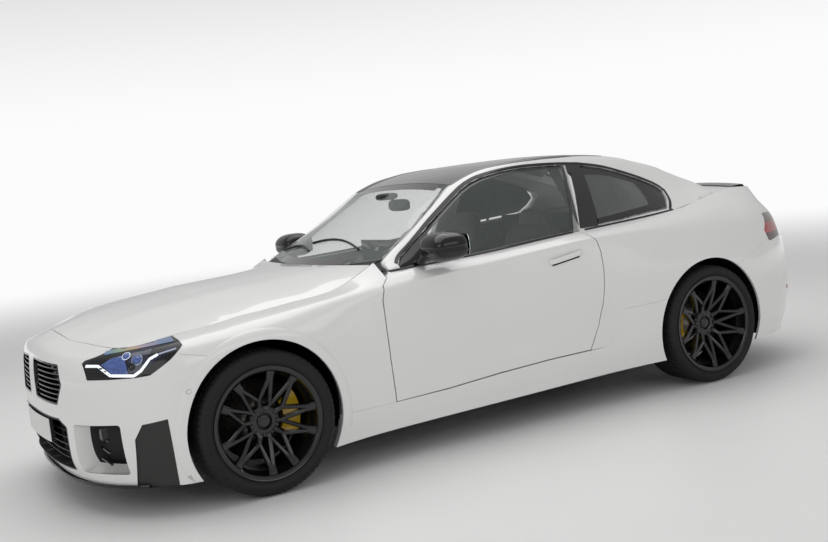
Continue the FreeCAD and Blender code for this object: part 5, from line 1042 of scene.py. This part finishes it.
def build_mirrors():
    centre = (MIRROR_X, MIRROR_Y, MIRROR_Z)
    shell = superellipsoid(centre, MIRROR_HALF, MIRROR_POWERS, 40, 26, mirror_shape)
    left, right = pair_piece("mirror_shell", *shell, GLOSS, DOORS, "trim_black", sharp=60)
    for piece, node in ((left, "door_mirror_left"), (right, "door_mirror_right")):
        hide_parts(node)
    lower = (MIRROR_X - 0.002, MIRROR_Y, MIRROR_Z - 0.004)
    half = (MIRROR_HALF[0] + 0.0015, MIRROR_HALF[1] + 0.0015, MIRROR_HALF[2] - 0.002)
    points, faces = superellipsoid(lower, half, MIRROR_POWERS, 40, 26, mirror_shape)
    keep = [f for f in faces if all(points[n].z < MIRROR_Z - 0.012 for n in f)]
    pair_piece("mirror_lower", points, keep, SATIN_GLOSS, DOORS, "trim_black", sharp=60)
    foot = sweep(smooth_line(MIRROR_FOOT, 8), oval_section(0.032, 0.014, 14), SKYWARD)
    pair_piece("mirror_foot", *foot, GLOSS, DOORS, "trim_black")
    rows = []
    for i in range(9):
        v = -1 + 2 * i / 8
        row = []
        for j in range(13):
            u = -1 + 2 * j / 12
            place = Vector((MIRROR_X - 0.885 * MIRROR_HALF[0] + 0.004 * (abs(u) ** 6 + abs(v) ** 6),
                            MIRROR_Y + u * 0.80 * MIRROR_HALF[1] * (1 - 0.06 * v * v),
                            MIRROR_Z + v * 0.75 * MIRROR_HALF[2] * (1 - 0.10 * u * u)))
            row.append((place, Vector((-1, 0, 0))))
        rows.append(row)
    pair_piece("mirror_glass", *plate(rows, 0.0005, 0.002), MIRROR, DOORS, "trim_black")


HANDLE_FRONT = -0.205
HANDLE_REAR = -0.422
HANDLE_Z = 0.836
HANDLE_RISE = 0.030
HANDLE_OUT = 0.017
HANDLE_SECTION = [
    (-0.0125, -0.003), (-0.0125, 0.002), (-0.0095, 0.005), (0.0085, 0.006), (0.0125, 0.003),
    (0.0125, -0.003),
]


def handle_line(count, drop=0.0):
    steps = [k / (count - 1) for k in range(count)]
    return [(between(HANDLE_FRONT, HANDLE_REAR, t), HANDLE_Z + HANDLE_RISE * t - drop) for t in steps]


def build_handles():
    hits = [beside(x, z, "door_left") for x, z in handle_line(25)]
    line = []
    for k, (p, n) in enumerate(hits):
        t = k / (len(hits) - 1)
        line.append(p + n * (HANDLE_OUT * math.sin(math.pi * min(max(t, 0.0), 1.0)) ** 0.35))
    handle = sweep(line, HANDLE_SECTION, [n for p, n in hits])
    pair_piece("door_handle", *handle, PAINT, DOORS, "paint_white")
    # A thin flat black plate under the handle: painted shade of the recess behind it
    rows = side_rows(handle_line(25, 0.010)[2:-2], handle_line(25, 0.024)[2:-2], 4, "door_left")
    pair_piece("handle_recess_shade", *plate(rows, 0.0002, 0.0006), BLACK_AND_SHADE, DOORS, "paint_white")


SPOILER_HALF = 0.545
SPOILER_FRONT = -1.935
SPOILER_CREST = -2.045
SPOILER_LIFTS = (0.0002, 0.003, 0.006, 0.009, 0.011, 0.012, 0.006, 0.001)


def build_spoiler():
    # A thin black lip along the lid's rear edge
    rows = []
    for k in range(41):
        y = SPOILER_HALF * (k / 40 * 2 - 1)
        crest = SPOILER_CREST + 0.035 * (y / SPOILER_HALF) ** 2
        front = SPOILER_FRONT + 0.02 * (y / SPOILER_HALF) ** 2
        row = [above(between(front, crest, t), y, "boot_lid") for t in (0.0, 0.2, 0.45, 0.7, 0.9, 1.0)]
        place = row[-1][0]
        row.append((place + Vector((-0.010, 0, -0.004)), Vector((-0.9, 0, 0.4)).normalized()))
        row.append((place + Vector((-0.008, 0, -0.020)), Vector((-1, 0, 0))))
        rows.append(row)
    mesh_piece("spoiler_lip", *plate(rows, SPOILER_LIFTS, 0.0035), GLOSS, "boot_lid", "trim_black")


AERIAL_FRONT = -1.005
AERIAL_LENGTH = 0.135


def build_aerial():
    points = []
    for k in range(15):
        t = k / 14
        x = AERIAL_FRONT - AERIAL_LENGTH * t
        base = above(x, 0, "roof_panel", "rear_window", "roof_frames")[0].z
        tall = 0.020 * math.sin(math.pi * t ** 0.75) ** 0.8
        wide = 0.019 * math.sin(math.pi * min(t * 0.92 + 0.06, 1)) ** 0.6
        for a in [math.pi * n / 12 for n in range(13)]:
            points.append(Vector((x, wide * math.cos(a), base - 0.001 + (tall + 0.002) * math.sin(a) ** 1.3)))
    mesh_piece("roof_aerial", points, grid_faces(15, 13), GLOSS, "root", "trim_black")


# Front

SIDE_INTAKE_SHARES = [(0.560, 0.3060), (0.815, 0.3090), (0.800, 0.1450), (0.530, 0.1450)]
INTAKE_MOUTH_SHARE = 1.07
# Share of the mouth and depth
INTAKE_STEPS = ((0.985, 0.002), (0.97, 0.030), (0.93, 0.072))
INTAKE_FLOOR_RISE = 0.022
INTAKE_BOX_DEPTH = 0.055
INTAKE_BARS_Z = (0.262, 0.315, 0.366)


def build_side_intakes():
    # A white funnel that ends in a black box with bars and a small sensor
    corners = [(y * HALF, z * HEIGHT) for y, z in SIDE_INTAKE_SHARES]
    middle = (sum(y for y, z in corners) / 4, sum(z for y, z in corners) / 4)
    loop = []
    for a, b in zip(corners, corners[1:] + corners[:1]):
        loop += [(between(a[0], b[0], k, 10), between(a[1], b[1], k, 10)) for k in range(10)]
    count = len(loop)

    def scaled(y, z, share):
        return between(middle[0], y, share), between(middle[1], z, share)

    mouth = [scaled(y, z, INTAKE_MOUTH_SHARE) for y, z in loop]
    places = [before(y, z, "front_bumper", "front_trim")[0].x for y, z in mouth]
    calm = [(places[n - 1] + places[n] + places[(n + 1) % count]) / 3 for n in range(count)]
    rows = []
    for share, back in INTAKE_STEPS:
        row = []
        for n, (y, z) in enumerate(loop):
            rise = INTAKE_FLOOR_RISE if back > 0.05 and z < middle[1] else 0.0
            across, up = scaled(y, z, share)
            row.append(Vector((calm[n] - back, across, up + rise)))
        rows.append(row)
    points = [p for row in rows for p in row]
    pair_piece("intake_funnel", points, grid_faces(len(rows), count, True), PAINT, slot="paint_white")
    deep = [Vector((p.x - INTAKE_BOX_DEPTH, p.y, p.z)) for p in rows[-1]]
    faces = grid_faces(2, count, True) + [tuple(range(2 * count - 1, count - 1, -1))]
    pair_piece("intake_box", rows[-1] + deep, faces, MATTE, slot="grille_black")
    bars = [rounded_box((0.012, 0.17, 0.007), (calm[0] - 0.100, 0.655, z), 0.002) for z in INTAKE_BARS_Z]
    pair_piece("intake_bars", *joined(bars), GLOSS, slot="grille_black")
    eye = rounded_box((0.030, 0.052, 0.048), (calm[0] - 0.092, 0.690, 0.392), 0.006)
    pair_piece("intake_sensor", *eye, SATIN_GLOSS, slot="grille_black")


def build_nose_backs():
    # Dark backs behind the grilles, which stop the view into the engine bay: their flat black is painted
    # shade of the bay behind
    shapes = [rounded_box((0.004, 0.86, 0.21), (2.135, 0.0, 0.610), 0.0015),
              rounded_box((0.004, 0.84, 0.26), (2.130, 0.0, 0.325), 0.0015)]
    mesh_piece("grille_shade_backs", *joined(shapes), BLACK_AND_SHADE, "root", "grille_black")


KIDNEY_FINS = 7
FIN_SECTION = [(-0.006, -0.0016), (-0.006, 0.0016), (0.006, 0.0016), (0.006, -0.0016)]


def build_kidney_fins():
    # Short bright blades at the outer side of each tall grille
    shapes = []
    for k in range(KIDNEY_FINS):
        z = (0.385 + 0.105 * k / (KIDNEY_FINS - 1)) * HEIGHT
        nose = before(0.50 * HALF, z, "front_bumper")[0].x
        line = []
        for t in (0.0, 0.33, 0.66, 1.0):
            line.append(Vector((nose - 0.012 - 0.010 * (1 - t), (0.385 + 0.075 * t) * HALF, z + 0.004 * t)))
        shapes.append(sweep(line, FIN_SECTION, SKYWARD))
    pair_piece("kidney_blades", *joined(shapes), FIN_METAL, slot="grille_black")


PLATE_HALF = 0.262
FRONT_PLATE_X = 2.290
FRONT_PLATE_Z = 0.320
FRONT_PLATE_TALL = 0.110
REAR_PLATE_Z = 0.640
REAR_PLATE_TALL = 0.120


def build_plate():
    rows = []
    for i in range(5):
        z = FRONT_PLATE_Z + FRONT_PLATE_TALL * i / 4
        row = []
        for j in range(21):
            y = PLATE_HALF * (j / 20 * 2 - 1)
            bow = 0.05 * (y / PLATE_HALF) ** 2 * 0.25
            row.append((Vector((FRONT_PLATE_X - bow, y, z)), Vector((1, 0, 0))))
        rows.append(row)
    mesh_piece("blank_plate", *plate(rows, 0.004, 0.002), PLATE, "root", "trim_black")
    base = [[(p - n * 0.012, n) for p, n in row] for row in rows]
    mesh_piece("plate_base", *plate(base, 0.0, 0.015), SATIN, "root", "trim_black")


SPLITTER_HALF = 0.795
SPLITTER_Z = 0.148
SPLITTER_SECTION = [(-0.020, -0.008), (-0.022, 0.004), (0.018, 0.006), (0.021, 0.001), (0.020, -0.008)]


def build_splitter_lip():
    line = []
    for k in range(49):
        y = SPLITTER_HALF * (k / 48 * 2 - 1)
        nose = before(y, 0.165, "front_bumper", "front_trim")[0].x
        line.append(Vector((nose - 0.012, y, SPLITTER_Z)))
    mesh_piece("splitter_edge", *sweep(line, SPLITTER_SECTION, SKYWARD), GLOSS, "root", "trim_black")


ARCH_RADIUS = 0.380
ARCH_BAND = 0.052
ARCH_LIFTS = (0.001, 0.0022, 0.0026, 0.0018, -0.0015)


def build_arch_bands():
    # A raised band round the front wheel's arch
    rows = []
    for k in range(73):
        turn = math.radians(-118 + 222 * k / 72)
        row = []
        for t in (0.006, 0.15, 0.55, 0.9, 1.0):
            r = ARCH_RADIUS + ARCH_BAND * t
            x = FRONT_AXLE_X - r * math.sin(turn)
            z = CORNERS[0].radius + r * math.cos(turn)
            row.append(beside(x, z, "front_fenders", "front_bumper", "side_skirts"))
        rows.append(row)
    rows = [row for row in rows if row[0][0].y > 0.8 and row[-1][0].z > 0.155]
    pair_piece("arch_band", *plate(rows, ARCH_LIFTS, 0.0012), PAINT, slot="paint_white")


def face_axes(pixel, names):
    # The place seen through a pixel, its normal, and two directions along the surface
    place, normal = seen(pixel, *names)
    side = normal.cross(SKYWARD).normalized()
    return place, normal, side, side.cross(normal)


def disc_on(pixel, radius, names, lift=0.001, dome=0.0, segments=24):
    # A small round button on the surface
    place, normal, side, up = face_axes(pixel, names)
    points = [place + normal * (lift + dome)]
    for ring, reach in ((0.6, 0.8), (1.0, 0.0)):
        for k in range(segments):
            a = 2 * math.pi * k / segments
            rim = (side * math.cos(a) + up * math.sin(a)) * (radius * ring)
            points.append(place + rim + normal * (lift + dome * reach))
    faces = [(0, 1 + k, 1 + (k + 1) % segments) for k in range(segments)]
    for k in range(segments):
        a, b = 1 + k, 1 + (k + 1) % segments
        faces.append((a, a + segments, b + segments, b))
    return points, faces


def pixel_ring(pixel, radius, names):
    place, normal, side, up = face_axes(pixel, names)
    line = [place + (side * math.cos(a) + up * math.sin(a)) * radius + normal * 0.002
            for a in [2 * math.pi * k / 24 for k in range(25)]]
    return sweep(line, oval_section(0.0022, 0.0022, 6), normal)


def pixel_strip(pixels, width, wall, names, lift=0.0004, fine=5):
    hits = []
    for a, b in zip(pixels, pixels[1:]):
        for k in range(fine):
            t = k / fine
            hits.append(seen((between(a[0], b[0], t), between(a[1], b[1], t)), *names))
    hits.append(seen(pixels[-1], *names))
    return lying_strip(hits, width, wall, lift)


def pixel_plate(first, second, rows, columns, names, lift, wall):
    # A panel between two lines of pixels
    def pick(line, t):
        n = t * (len(line) - 1)
        i = min(int(n), len(line) - 2)
        return between(line[i][0], line[i + 1][0], n - i), between(line[i][1], line[i + 1][1], n - i)

    grid = []
    last = columns - 1
    for i in range(rows):
        a, b = pick(first, i / (rows - 1)), pick(second, i / (rows - 1))
        pixels = [(between(a[0], b[0], k, last), between(a[1], b[1], k, last)) for k in range(columns)]
        grid.append([seen(pixel, *names) for pixel in pixels])
    return plate(grid, lift, wall)


LAMP = ("headlamps",)
LIGHT_LINE_PIXELS = [(86, 366.5), (98, 366.5), (110.5, 376), (134, 376), (141, 371), (150, 359), (158, 354.5)]
UPPER_LINE_PIXELS = [(158, 354.5), (167, 351.5), (176, 348.5)]
BAND_TOP_PIXELS = [(106, 351.5), (125, 347.5), (148, 342.5), (171, 336.5)]
BAND_LOW_PIXELS = [(104, 355.5), (125, 351.5), (148, 347), (174, 341.5)]
FACET_TOP_PIXELS = [(101, 365), (112, 358.5), (124, 355.5)]
FACET_LOW_PIXELS = [(111, 374), (119, 374), (128, 374)]
POCKET_TOP_PIXELS = [(126, 352.5), (140, 349.5), (154, 347)]
POCKET_LOW_PIXELS = [(129, 373.5), (138, 371.5), (146, 361)]
LENS_PIXELS = [(126.5, 356.5), (137, 360)]
BALL_PIXEL = (131.5, 366.5)
RIB_STARTS = [(147, 367), (151, 364), (155, 361), (159, 358.5), (163, 356), (167, 353.5)]
RIB_ENDS = [(152, 357), (156, 355), (160, 352.5), (164, 350.5), (168, 348.5), (171.5, 346.5)]
BLOCK_LEVELS = [(86, 104, 369), (86, 106.5, 372), (86, 109, 375), (86.5, 112, 378)]


def lamp_pair(name, shape, mat):
    pair_piece(name, *shape, mat, slot="lamp_clear")


def build_headlamps():
    dressed("headlamps", [LAMP_BACK])
    lamp_pair("lamp_line", pixel_strip(LIGHT_LINE_PIXELS, 0.013, 0.003, LAMP), LIGHT)
    lamp_pair("lamp_line_end", pixel_strip(UPPER_LINE_PIXELS, 0.007, 0.002, LAMP), LIGHT_SOFT)
    # A silver strip with painted reflection colours along it
    lamp_pair("lamp_sheen_band", pixel_plate(BAND_TOP_PIXELS, BAND_LOW_PIXELS, 24, 4, LAMP, 0.0006, 0.002), SHEEN_BAND)
    facet = pixel_plate(FACET_TOP_PIXELS, FACET_LOW_PIXELS, 14, 8, LAMP, 0.0004, 0.0008)
    lamp_pair("lamp_facet", facet, BLUE)
    # The pocket round the lenses in the darker blue: painted shade
    pocket = pixel_plate(POCKET_TOP_PIXELS, POCKET_LOW_PIXELS, 14, 8, LAMP, 0.0004, 0.0008)
    lamp_pair("lamp_pocket_shade", pocket, BLUE_SHADED)
    rings = [pixel_ring(p, r, LAMP) for p, r in zip(LENS_PIXELS, (0.019, 0.024))]
    lamp_pair("lamp_rings", joined(rings), SILVER)
    lenses = [disc_on(p, r, LAMP, 0.002, 0.008) for p, r in zip(LENS_PIXELS, (0.017, 0.021))]
    lamp_pair("lamp_lenses", joined(lenses), BLUE)
    lamp_pair("lamp_ball", disc_on(BALL_PIXEL, 0.020, LAMP, 0.001, 0.010), GLOSS)
    ribs = [pixel_strip([a, b], 0.0035, 0.002, LAMP) for a, b in zip(RIB_STARTS, RIB_ENDS)]
    lamp_pair("lamp_ribs", joined(ribs), RIB_BLUE)
    rows = [pixel_strip([(a, z), (b, z)], 0.009, 0.003, LAMP) for a, b, z in BLOCK_LEVELS]
    lamp_pair("lamp_block", joined(rows), SATIN)


PARK_PIXEL = (188.6, 391.7)
PARK_FACES = ("front_bumper", "front_fenders")


def build_sensors():
    pair_piece("park_ring", *pixel_ring(PARK_PIXEL, 0.0105, PARK_FACES), CHIP, slot="paint_white")
    pair_piece("park_eye", *disc_on(PARK_PIXEL, 0.0095, PARK_FACES, 0.0008, 0.001), PAINT, slot="paint_white")


# Cabin

CHAIR_Y = 0.37
BENCH_Y = 0.30


def cushion(centre, size, tilt, powers, seams):
    # A crowned pad with sewn channels across its face
    turn = Matrix.Rotation(tilt, 3, "Y")

    def shape(p):
        dent = 0.0
        for place in seams:
            dent += 0.10 * math.exp(-((p.y - place) / 0.045) ** 2)
        pinch = 1 - 0.06 * abs(p.y * p.z)
        return Vector((p.x * (1 - dent) * pinch, p.y * pinch, p.z))

    points, faces = superellipsoid((0, 0, 0), tuple(s / 2 for s in size), powers, 64, 36, shape)
    return [turn @ p + Vector(centre) for p in points], faces


def leather_pad(name, *form):
    return mesh_piece(name, *cushion(*form), LEATHER, "root", "seat_leather", sharp=70)


def build_seats():
    first = True
    for side, sign in SIDES:
        y = sign * CHAIR_Y
        for name, centre, size, tilt, powers, seams in (
                ("seat_base_", (-0.135, y, 0.345), (0.58, 0.50, 0.20), -3, (5.0, 4.0), (-0.62, 0.62)),
                ("seat_back_", (-0.460, y, 0.720), (0.14, 0.49, 0.60), -9, (5.0, 4.0), (-0.60, 0.60)),
                ("seat_head_", (-0.515, y, 1.030), (0.085, 0.26, 0.135), -7, (4.0, 3.4), ())):
            piece = leather_pad(name + side, centre, size, math.radians(tilt), powers, seams)
            if first:
                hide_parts("seats")
                first = False
        stalks = [sweep([Vector((-0.505, y + s * 0.05, 0.93)), Vector((-0.512, y + s * 0.05, 1.02))],
                        oval_section(0.006, 0.006, 10), Vector((1, 0, 0))) for s in (1, -1)]
        mesh_piece("seat_stalks_" + side, *joined(stalks), CHROME, "root", "seat_leather")
        base = rounded_box((0.50, 0.42, 0.07), (-0.13, y, 0.220), 0.012)
        mesh_piece("seat_frame_" + side, *base, PLASTIC, "root", "seat_leather")
    for side, sign in SIDES:
        y = sign * BENCH_Y
        for name, centre, size, tilt in (
                ("bench_base_", (-0.745, y, 0.355), (0.40, 0.44, 0.17), 0.0),
                ("bench_back_", (-0.900, y, 0.640), (0.090, 0.48, 0.50), math.radians(-3))):
            piece = leather_pad(name + side, centre, size, tilt, (5.0, 4.0), (-0.55, 0.55))


def build_cabin():
    dressed("dashboard", [PLASTIC])
    dressed("steering_wheel", [LEATHER])
    screen = rounded_box((0.014, 0.60, 0.125), (0.345, 0.14, 0.965), 0.005)
    mesh_piece("dash_screen", *screen, SCREEN, "root", "cabin_plastic")
    vents = [rounded_box((0.010, 0.11, 0.005), (0.427, y, 0.80 + 0.013 * k), 0.0015)
             for y in (-0.55, -0.15, 0.55) for k in range(4)]
    mesh_piece("dash_vents", *joined(vents), SATIN, "root", "cabin_plastic")
    stem = sweep([Vector((0.215, 0, 1.262)), Vector((0.190, 0, 1.228)), Vector((0.168, 0, 1.215))],
                 oval_section(0.009, 0.009, 10), Vector((0, 1, 0)))
    body = superellipsoid((0.160, 0, 1.205), (0.016, 0.120, 0.034), (3.2, 3.4), 32, 18)
    unit = superellipsoid((0.235, 0, 1.262), (0.055, 0.060, 0.020), (3.5, 3.0), 28, 14)
    mesh_piece("inner_mirror", *joined([stem, body, unit]), SATIN, "root", "cabin_plastic")


WIPER_STARTS = [(0.655, 0.42), (0.700, -0.12)]
WIPER_ENDS = [(0.640, -0.18), (0.640, -0.62)]
WIPER_SECTION = [(-0.004, -0.008), (-0.006, 0.0), (0.0, 0.006), (0.006, 0.0), (0.004, -0.008)]


def build_wipers():
    shapes = []
    for start, end in zip(WIPER_STARTS, WIPER_ENDS):
        hits = []
        for k in range(19):
            t = k / 18
            x = between(start[0], end[0], t) - 0.05 * math.sin(math.pi * t) * 0.6
            hits.append(above(x, between(start[1], end[1], t), "windshield", "cowl"))
        shapes.append(sweep(lifted(hits, 0.010), WIPER_SECTION, [n for p, n in hits]))
    mesh_piece("wipers", *joined(shapes), SATIN, "root", "plastic_black")


# Rear

DIFFUSER_SECTION = [(-0.003, -0.004), (-0.002, 0.016), (0.002, 0.016), (0.003, -0.004)]


def build_tail():
    dressed("tail_lamps", [TAIL_GLASS])
    fins = []
    for y in (-0.30, -0.15, 0.0, 0.15, 0.30):
        hits = [behind(y, 0.115 + 0.20 * k / 8, "rear_diffuser", "rear_bumper") for k in range(9)]
        fins.append(sweep(lifted(hits, 0.002), DIFFUSER_SECTION, [n for p, n in hits]))
    mesh_piece("diffuser_fins", *joined(fins), SATIN, "root", "plastic_black")
    for side, sign in SIDES:
        hits = [behind(sign * (0.70 + 0.10 * k / 8), 0.405 + 0.004 * k, "rear_bumper") for k in range(9)]
        mesh_piece("reflector_" + side, *lying_strip(hits, 0.022, 0.003, 0.0002), RED, "root", "lamp_red")
    rows = []
    for i in range(5):
        z = REAR_PLATE_Z + REAR_PLATE_TALL * i / 4
        rows.append([behind(PLATE_HALF * (j / 20 * 2 - 1), z, "boot_lid", "rear_bumper") for j in range(21)])
    mesh_piece("rear_plate", *plate(rows, 0.004, 0.002), PLATE, rear_plate_body(rows), "trim_black")


def rear_plate_body(rows):
    lid = tree_of("boot_lid").find_nearest(rows[0][10][0])[3]
    return "boot_lid" if lid < 0.002 else "root"


# Floor, world and lamps

FLOOR_RADIUS = 60.0
FADE_START = 5.0
FADE_END = 15.0
SKY_WHITE = (0.97, 0.97, 0.97, 1)
SKY_GREY = (0.60, 0.59, 0.59, 1)
AMBIENT = 0.48


def build_stage():
    work = bmesh.new()
    bmesh.ops.create_circle(work, cap_ends=True, segments=96, radius=FLOOR_RADIUS)
    mesh = bpy.data.meshes.new("floor")
    work.to_mesh(mesh)
    work.free()
    floor = bpy.data.objects.new("floor", mesh)
    floor.location = (0, 0, -0.001)
    bpy.context.scene.collection.objects.link(floor)
    made = material("floor_pale", (0.86, 0.855, 0.85), rough=0.45, vary=0.01, rough_vary=0.03, specular=0.3)
    tree = made.node_tree
    place = new_node(tree, "TexCoord")
    reach = new_node(tree, "VectorMath", operation="LENGTH")
    span = new_node(tree, "MapRange", {"From Min": FADE_START, "From Max": FADE_END},
                    interpolation_type="SMOOTHSTEP")
    glow = new_node(tree, "Emission", {"Color": SKY_WHITE})
    mix = new_node(tree, "MixShader")
    wire(tree, (place, "Object", reach, 0), (reach, "Value", span, "Value"), (span, "Result", mix, "Fac"),
         (shader_of(made), "BSDF", mix, 1), (glow, "Emission", mix, 2),
         (mix, "Shader", tree.nodes["Material Output"], "Surface"))
    mesh.materials.append(made)


def build_world():
    # Even light, and a sky, white at the horizon and grey above, that only camera and glass rays see
    world = bpy.data.worlds.new("studio")
    bpy.context.scene.world = world
    world.use_nodes = True
    tree = world.node_tree
    ambient = tree.nodes["Background"]
    ambient.inputs["Color"].default_value = (1.0, 1.0, 1.0, 1)
    ambient.inputs["Strength"].default_value = AMBIENT
    shown = new_node(tree, "Background")
    place = new_node(tree, "TexCoord")
    split = new_node(tree, "SeparateXYZ")
    span = new_node(tree, "MapRange", {"From Min": 0.06, "From Max": 0.30}, interpolation_type="SMOOTHSTEP")
    blend = new_node(tree, "Mix", {"A": SKY_WHITE, "B": SKY_GREY}, data_type="RGBA")
    path = new_node(tree, "LightPath")
    first = new_node(tree, "Math", operation="MAXIMUM")
    mix = new_node(tree, "MixShader")
    wire(tree, (place, "Generated", split, "Vector"), (split, "Z", span, "Value"),
         (span, "Result", blend, "Factor"), (blend, "Result", shown, "Color"),
         (path, "Is Camera Ray", first, 0), (path, "Is Transmission Ray", first, 1),
         (first, "Value", mix, "Fac"), (ambient, "Background", mix, 1), (shown, "Background", mix, 2),
         (mix, "Shader", tree.nodes["World Output"], "Surface"))


# Name, place, what it faces, size and power
LAMPS = (
    ("overhead", (0.3, -0.8, 5.2), (0, 0, 0.5), (8.0, 4.5), 150.0),
    ("front_fill", (6.5, 3.5, 3.2), (1.5, 0, 0.6), (4.0, 3.0), 40.0),
    ("side_fill", (-1.0, 7.5, 3.0), (0, 0, 0.6), (6.0, 2.5), 45.0),
)


def build_lamps():
    for name, place, aim, size, power in LAMPS:
        data = bpy.data.lights.new(name, "AREA")
        data.shape = "RECTANGLE"
        data.size, data.size_y = size
        data.energy = power
        made = bpy.data.objects.new(name, data)
        made.location = place
        made.rotation_mode = "QUATERNION"
        made.rotation_quaternion = (Vector(aim) - Vector(place)).to_track_quat("-Z", "Y")
        bpy.context.scene.collection.objects.link(made)


for build in (make_camera, build_world, build_lamps, build_stage, dress_body, build_tyres, build_rims,
              build_disc_hole_shades, build_roof_edges, build_window_trims, build_quarter_border, build_belt_trims,
              build_sail_panels, build_screen_borders, build_mirrors, build_handles, build_spoiler,
              build_aerial, build_side_intakes, build_nose_backs, build_kidney_fins, build_plate,
              build_splitter_lip, build_arch_bands, build_headlamps, build_sensors, build_seats, build_cabin,
              build_wipers, build_tail):
    build()

bpy.context.scene.view_settings.view_transform = "Standard"
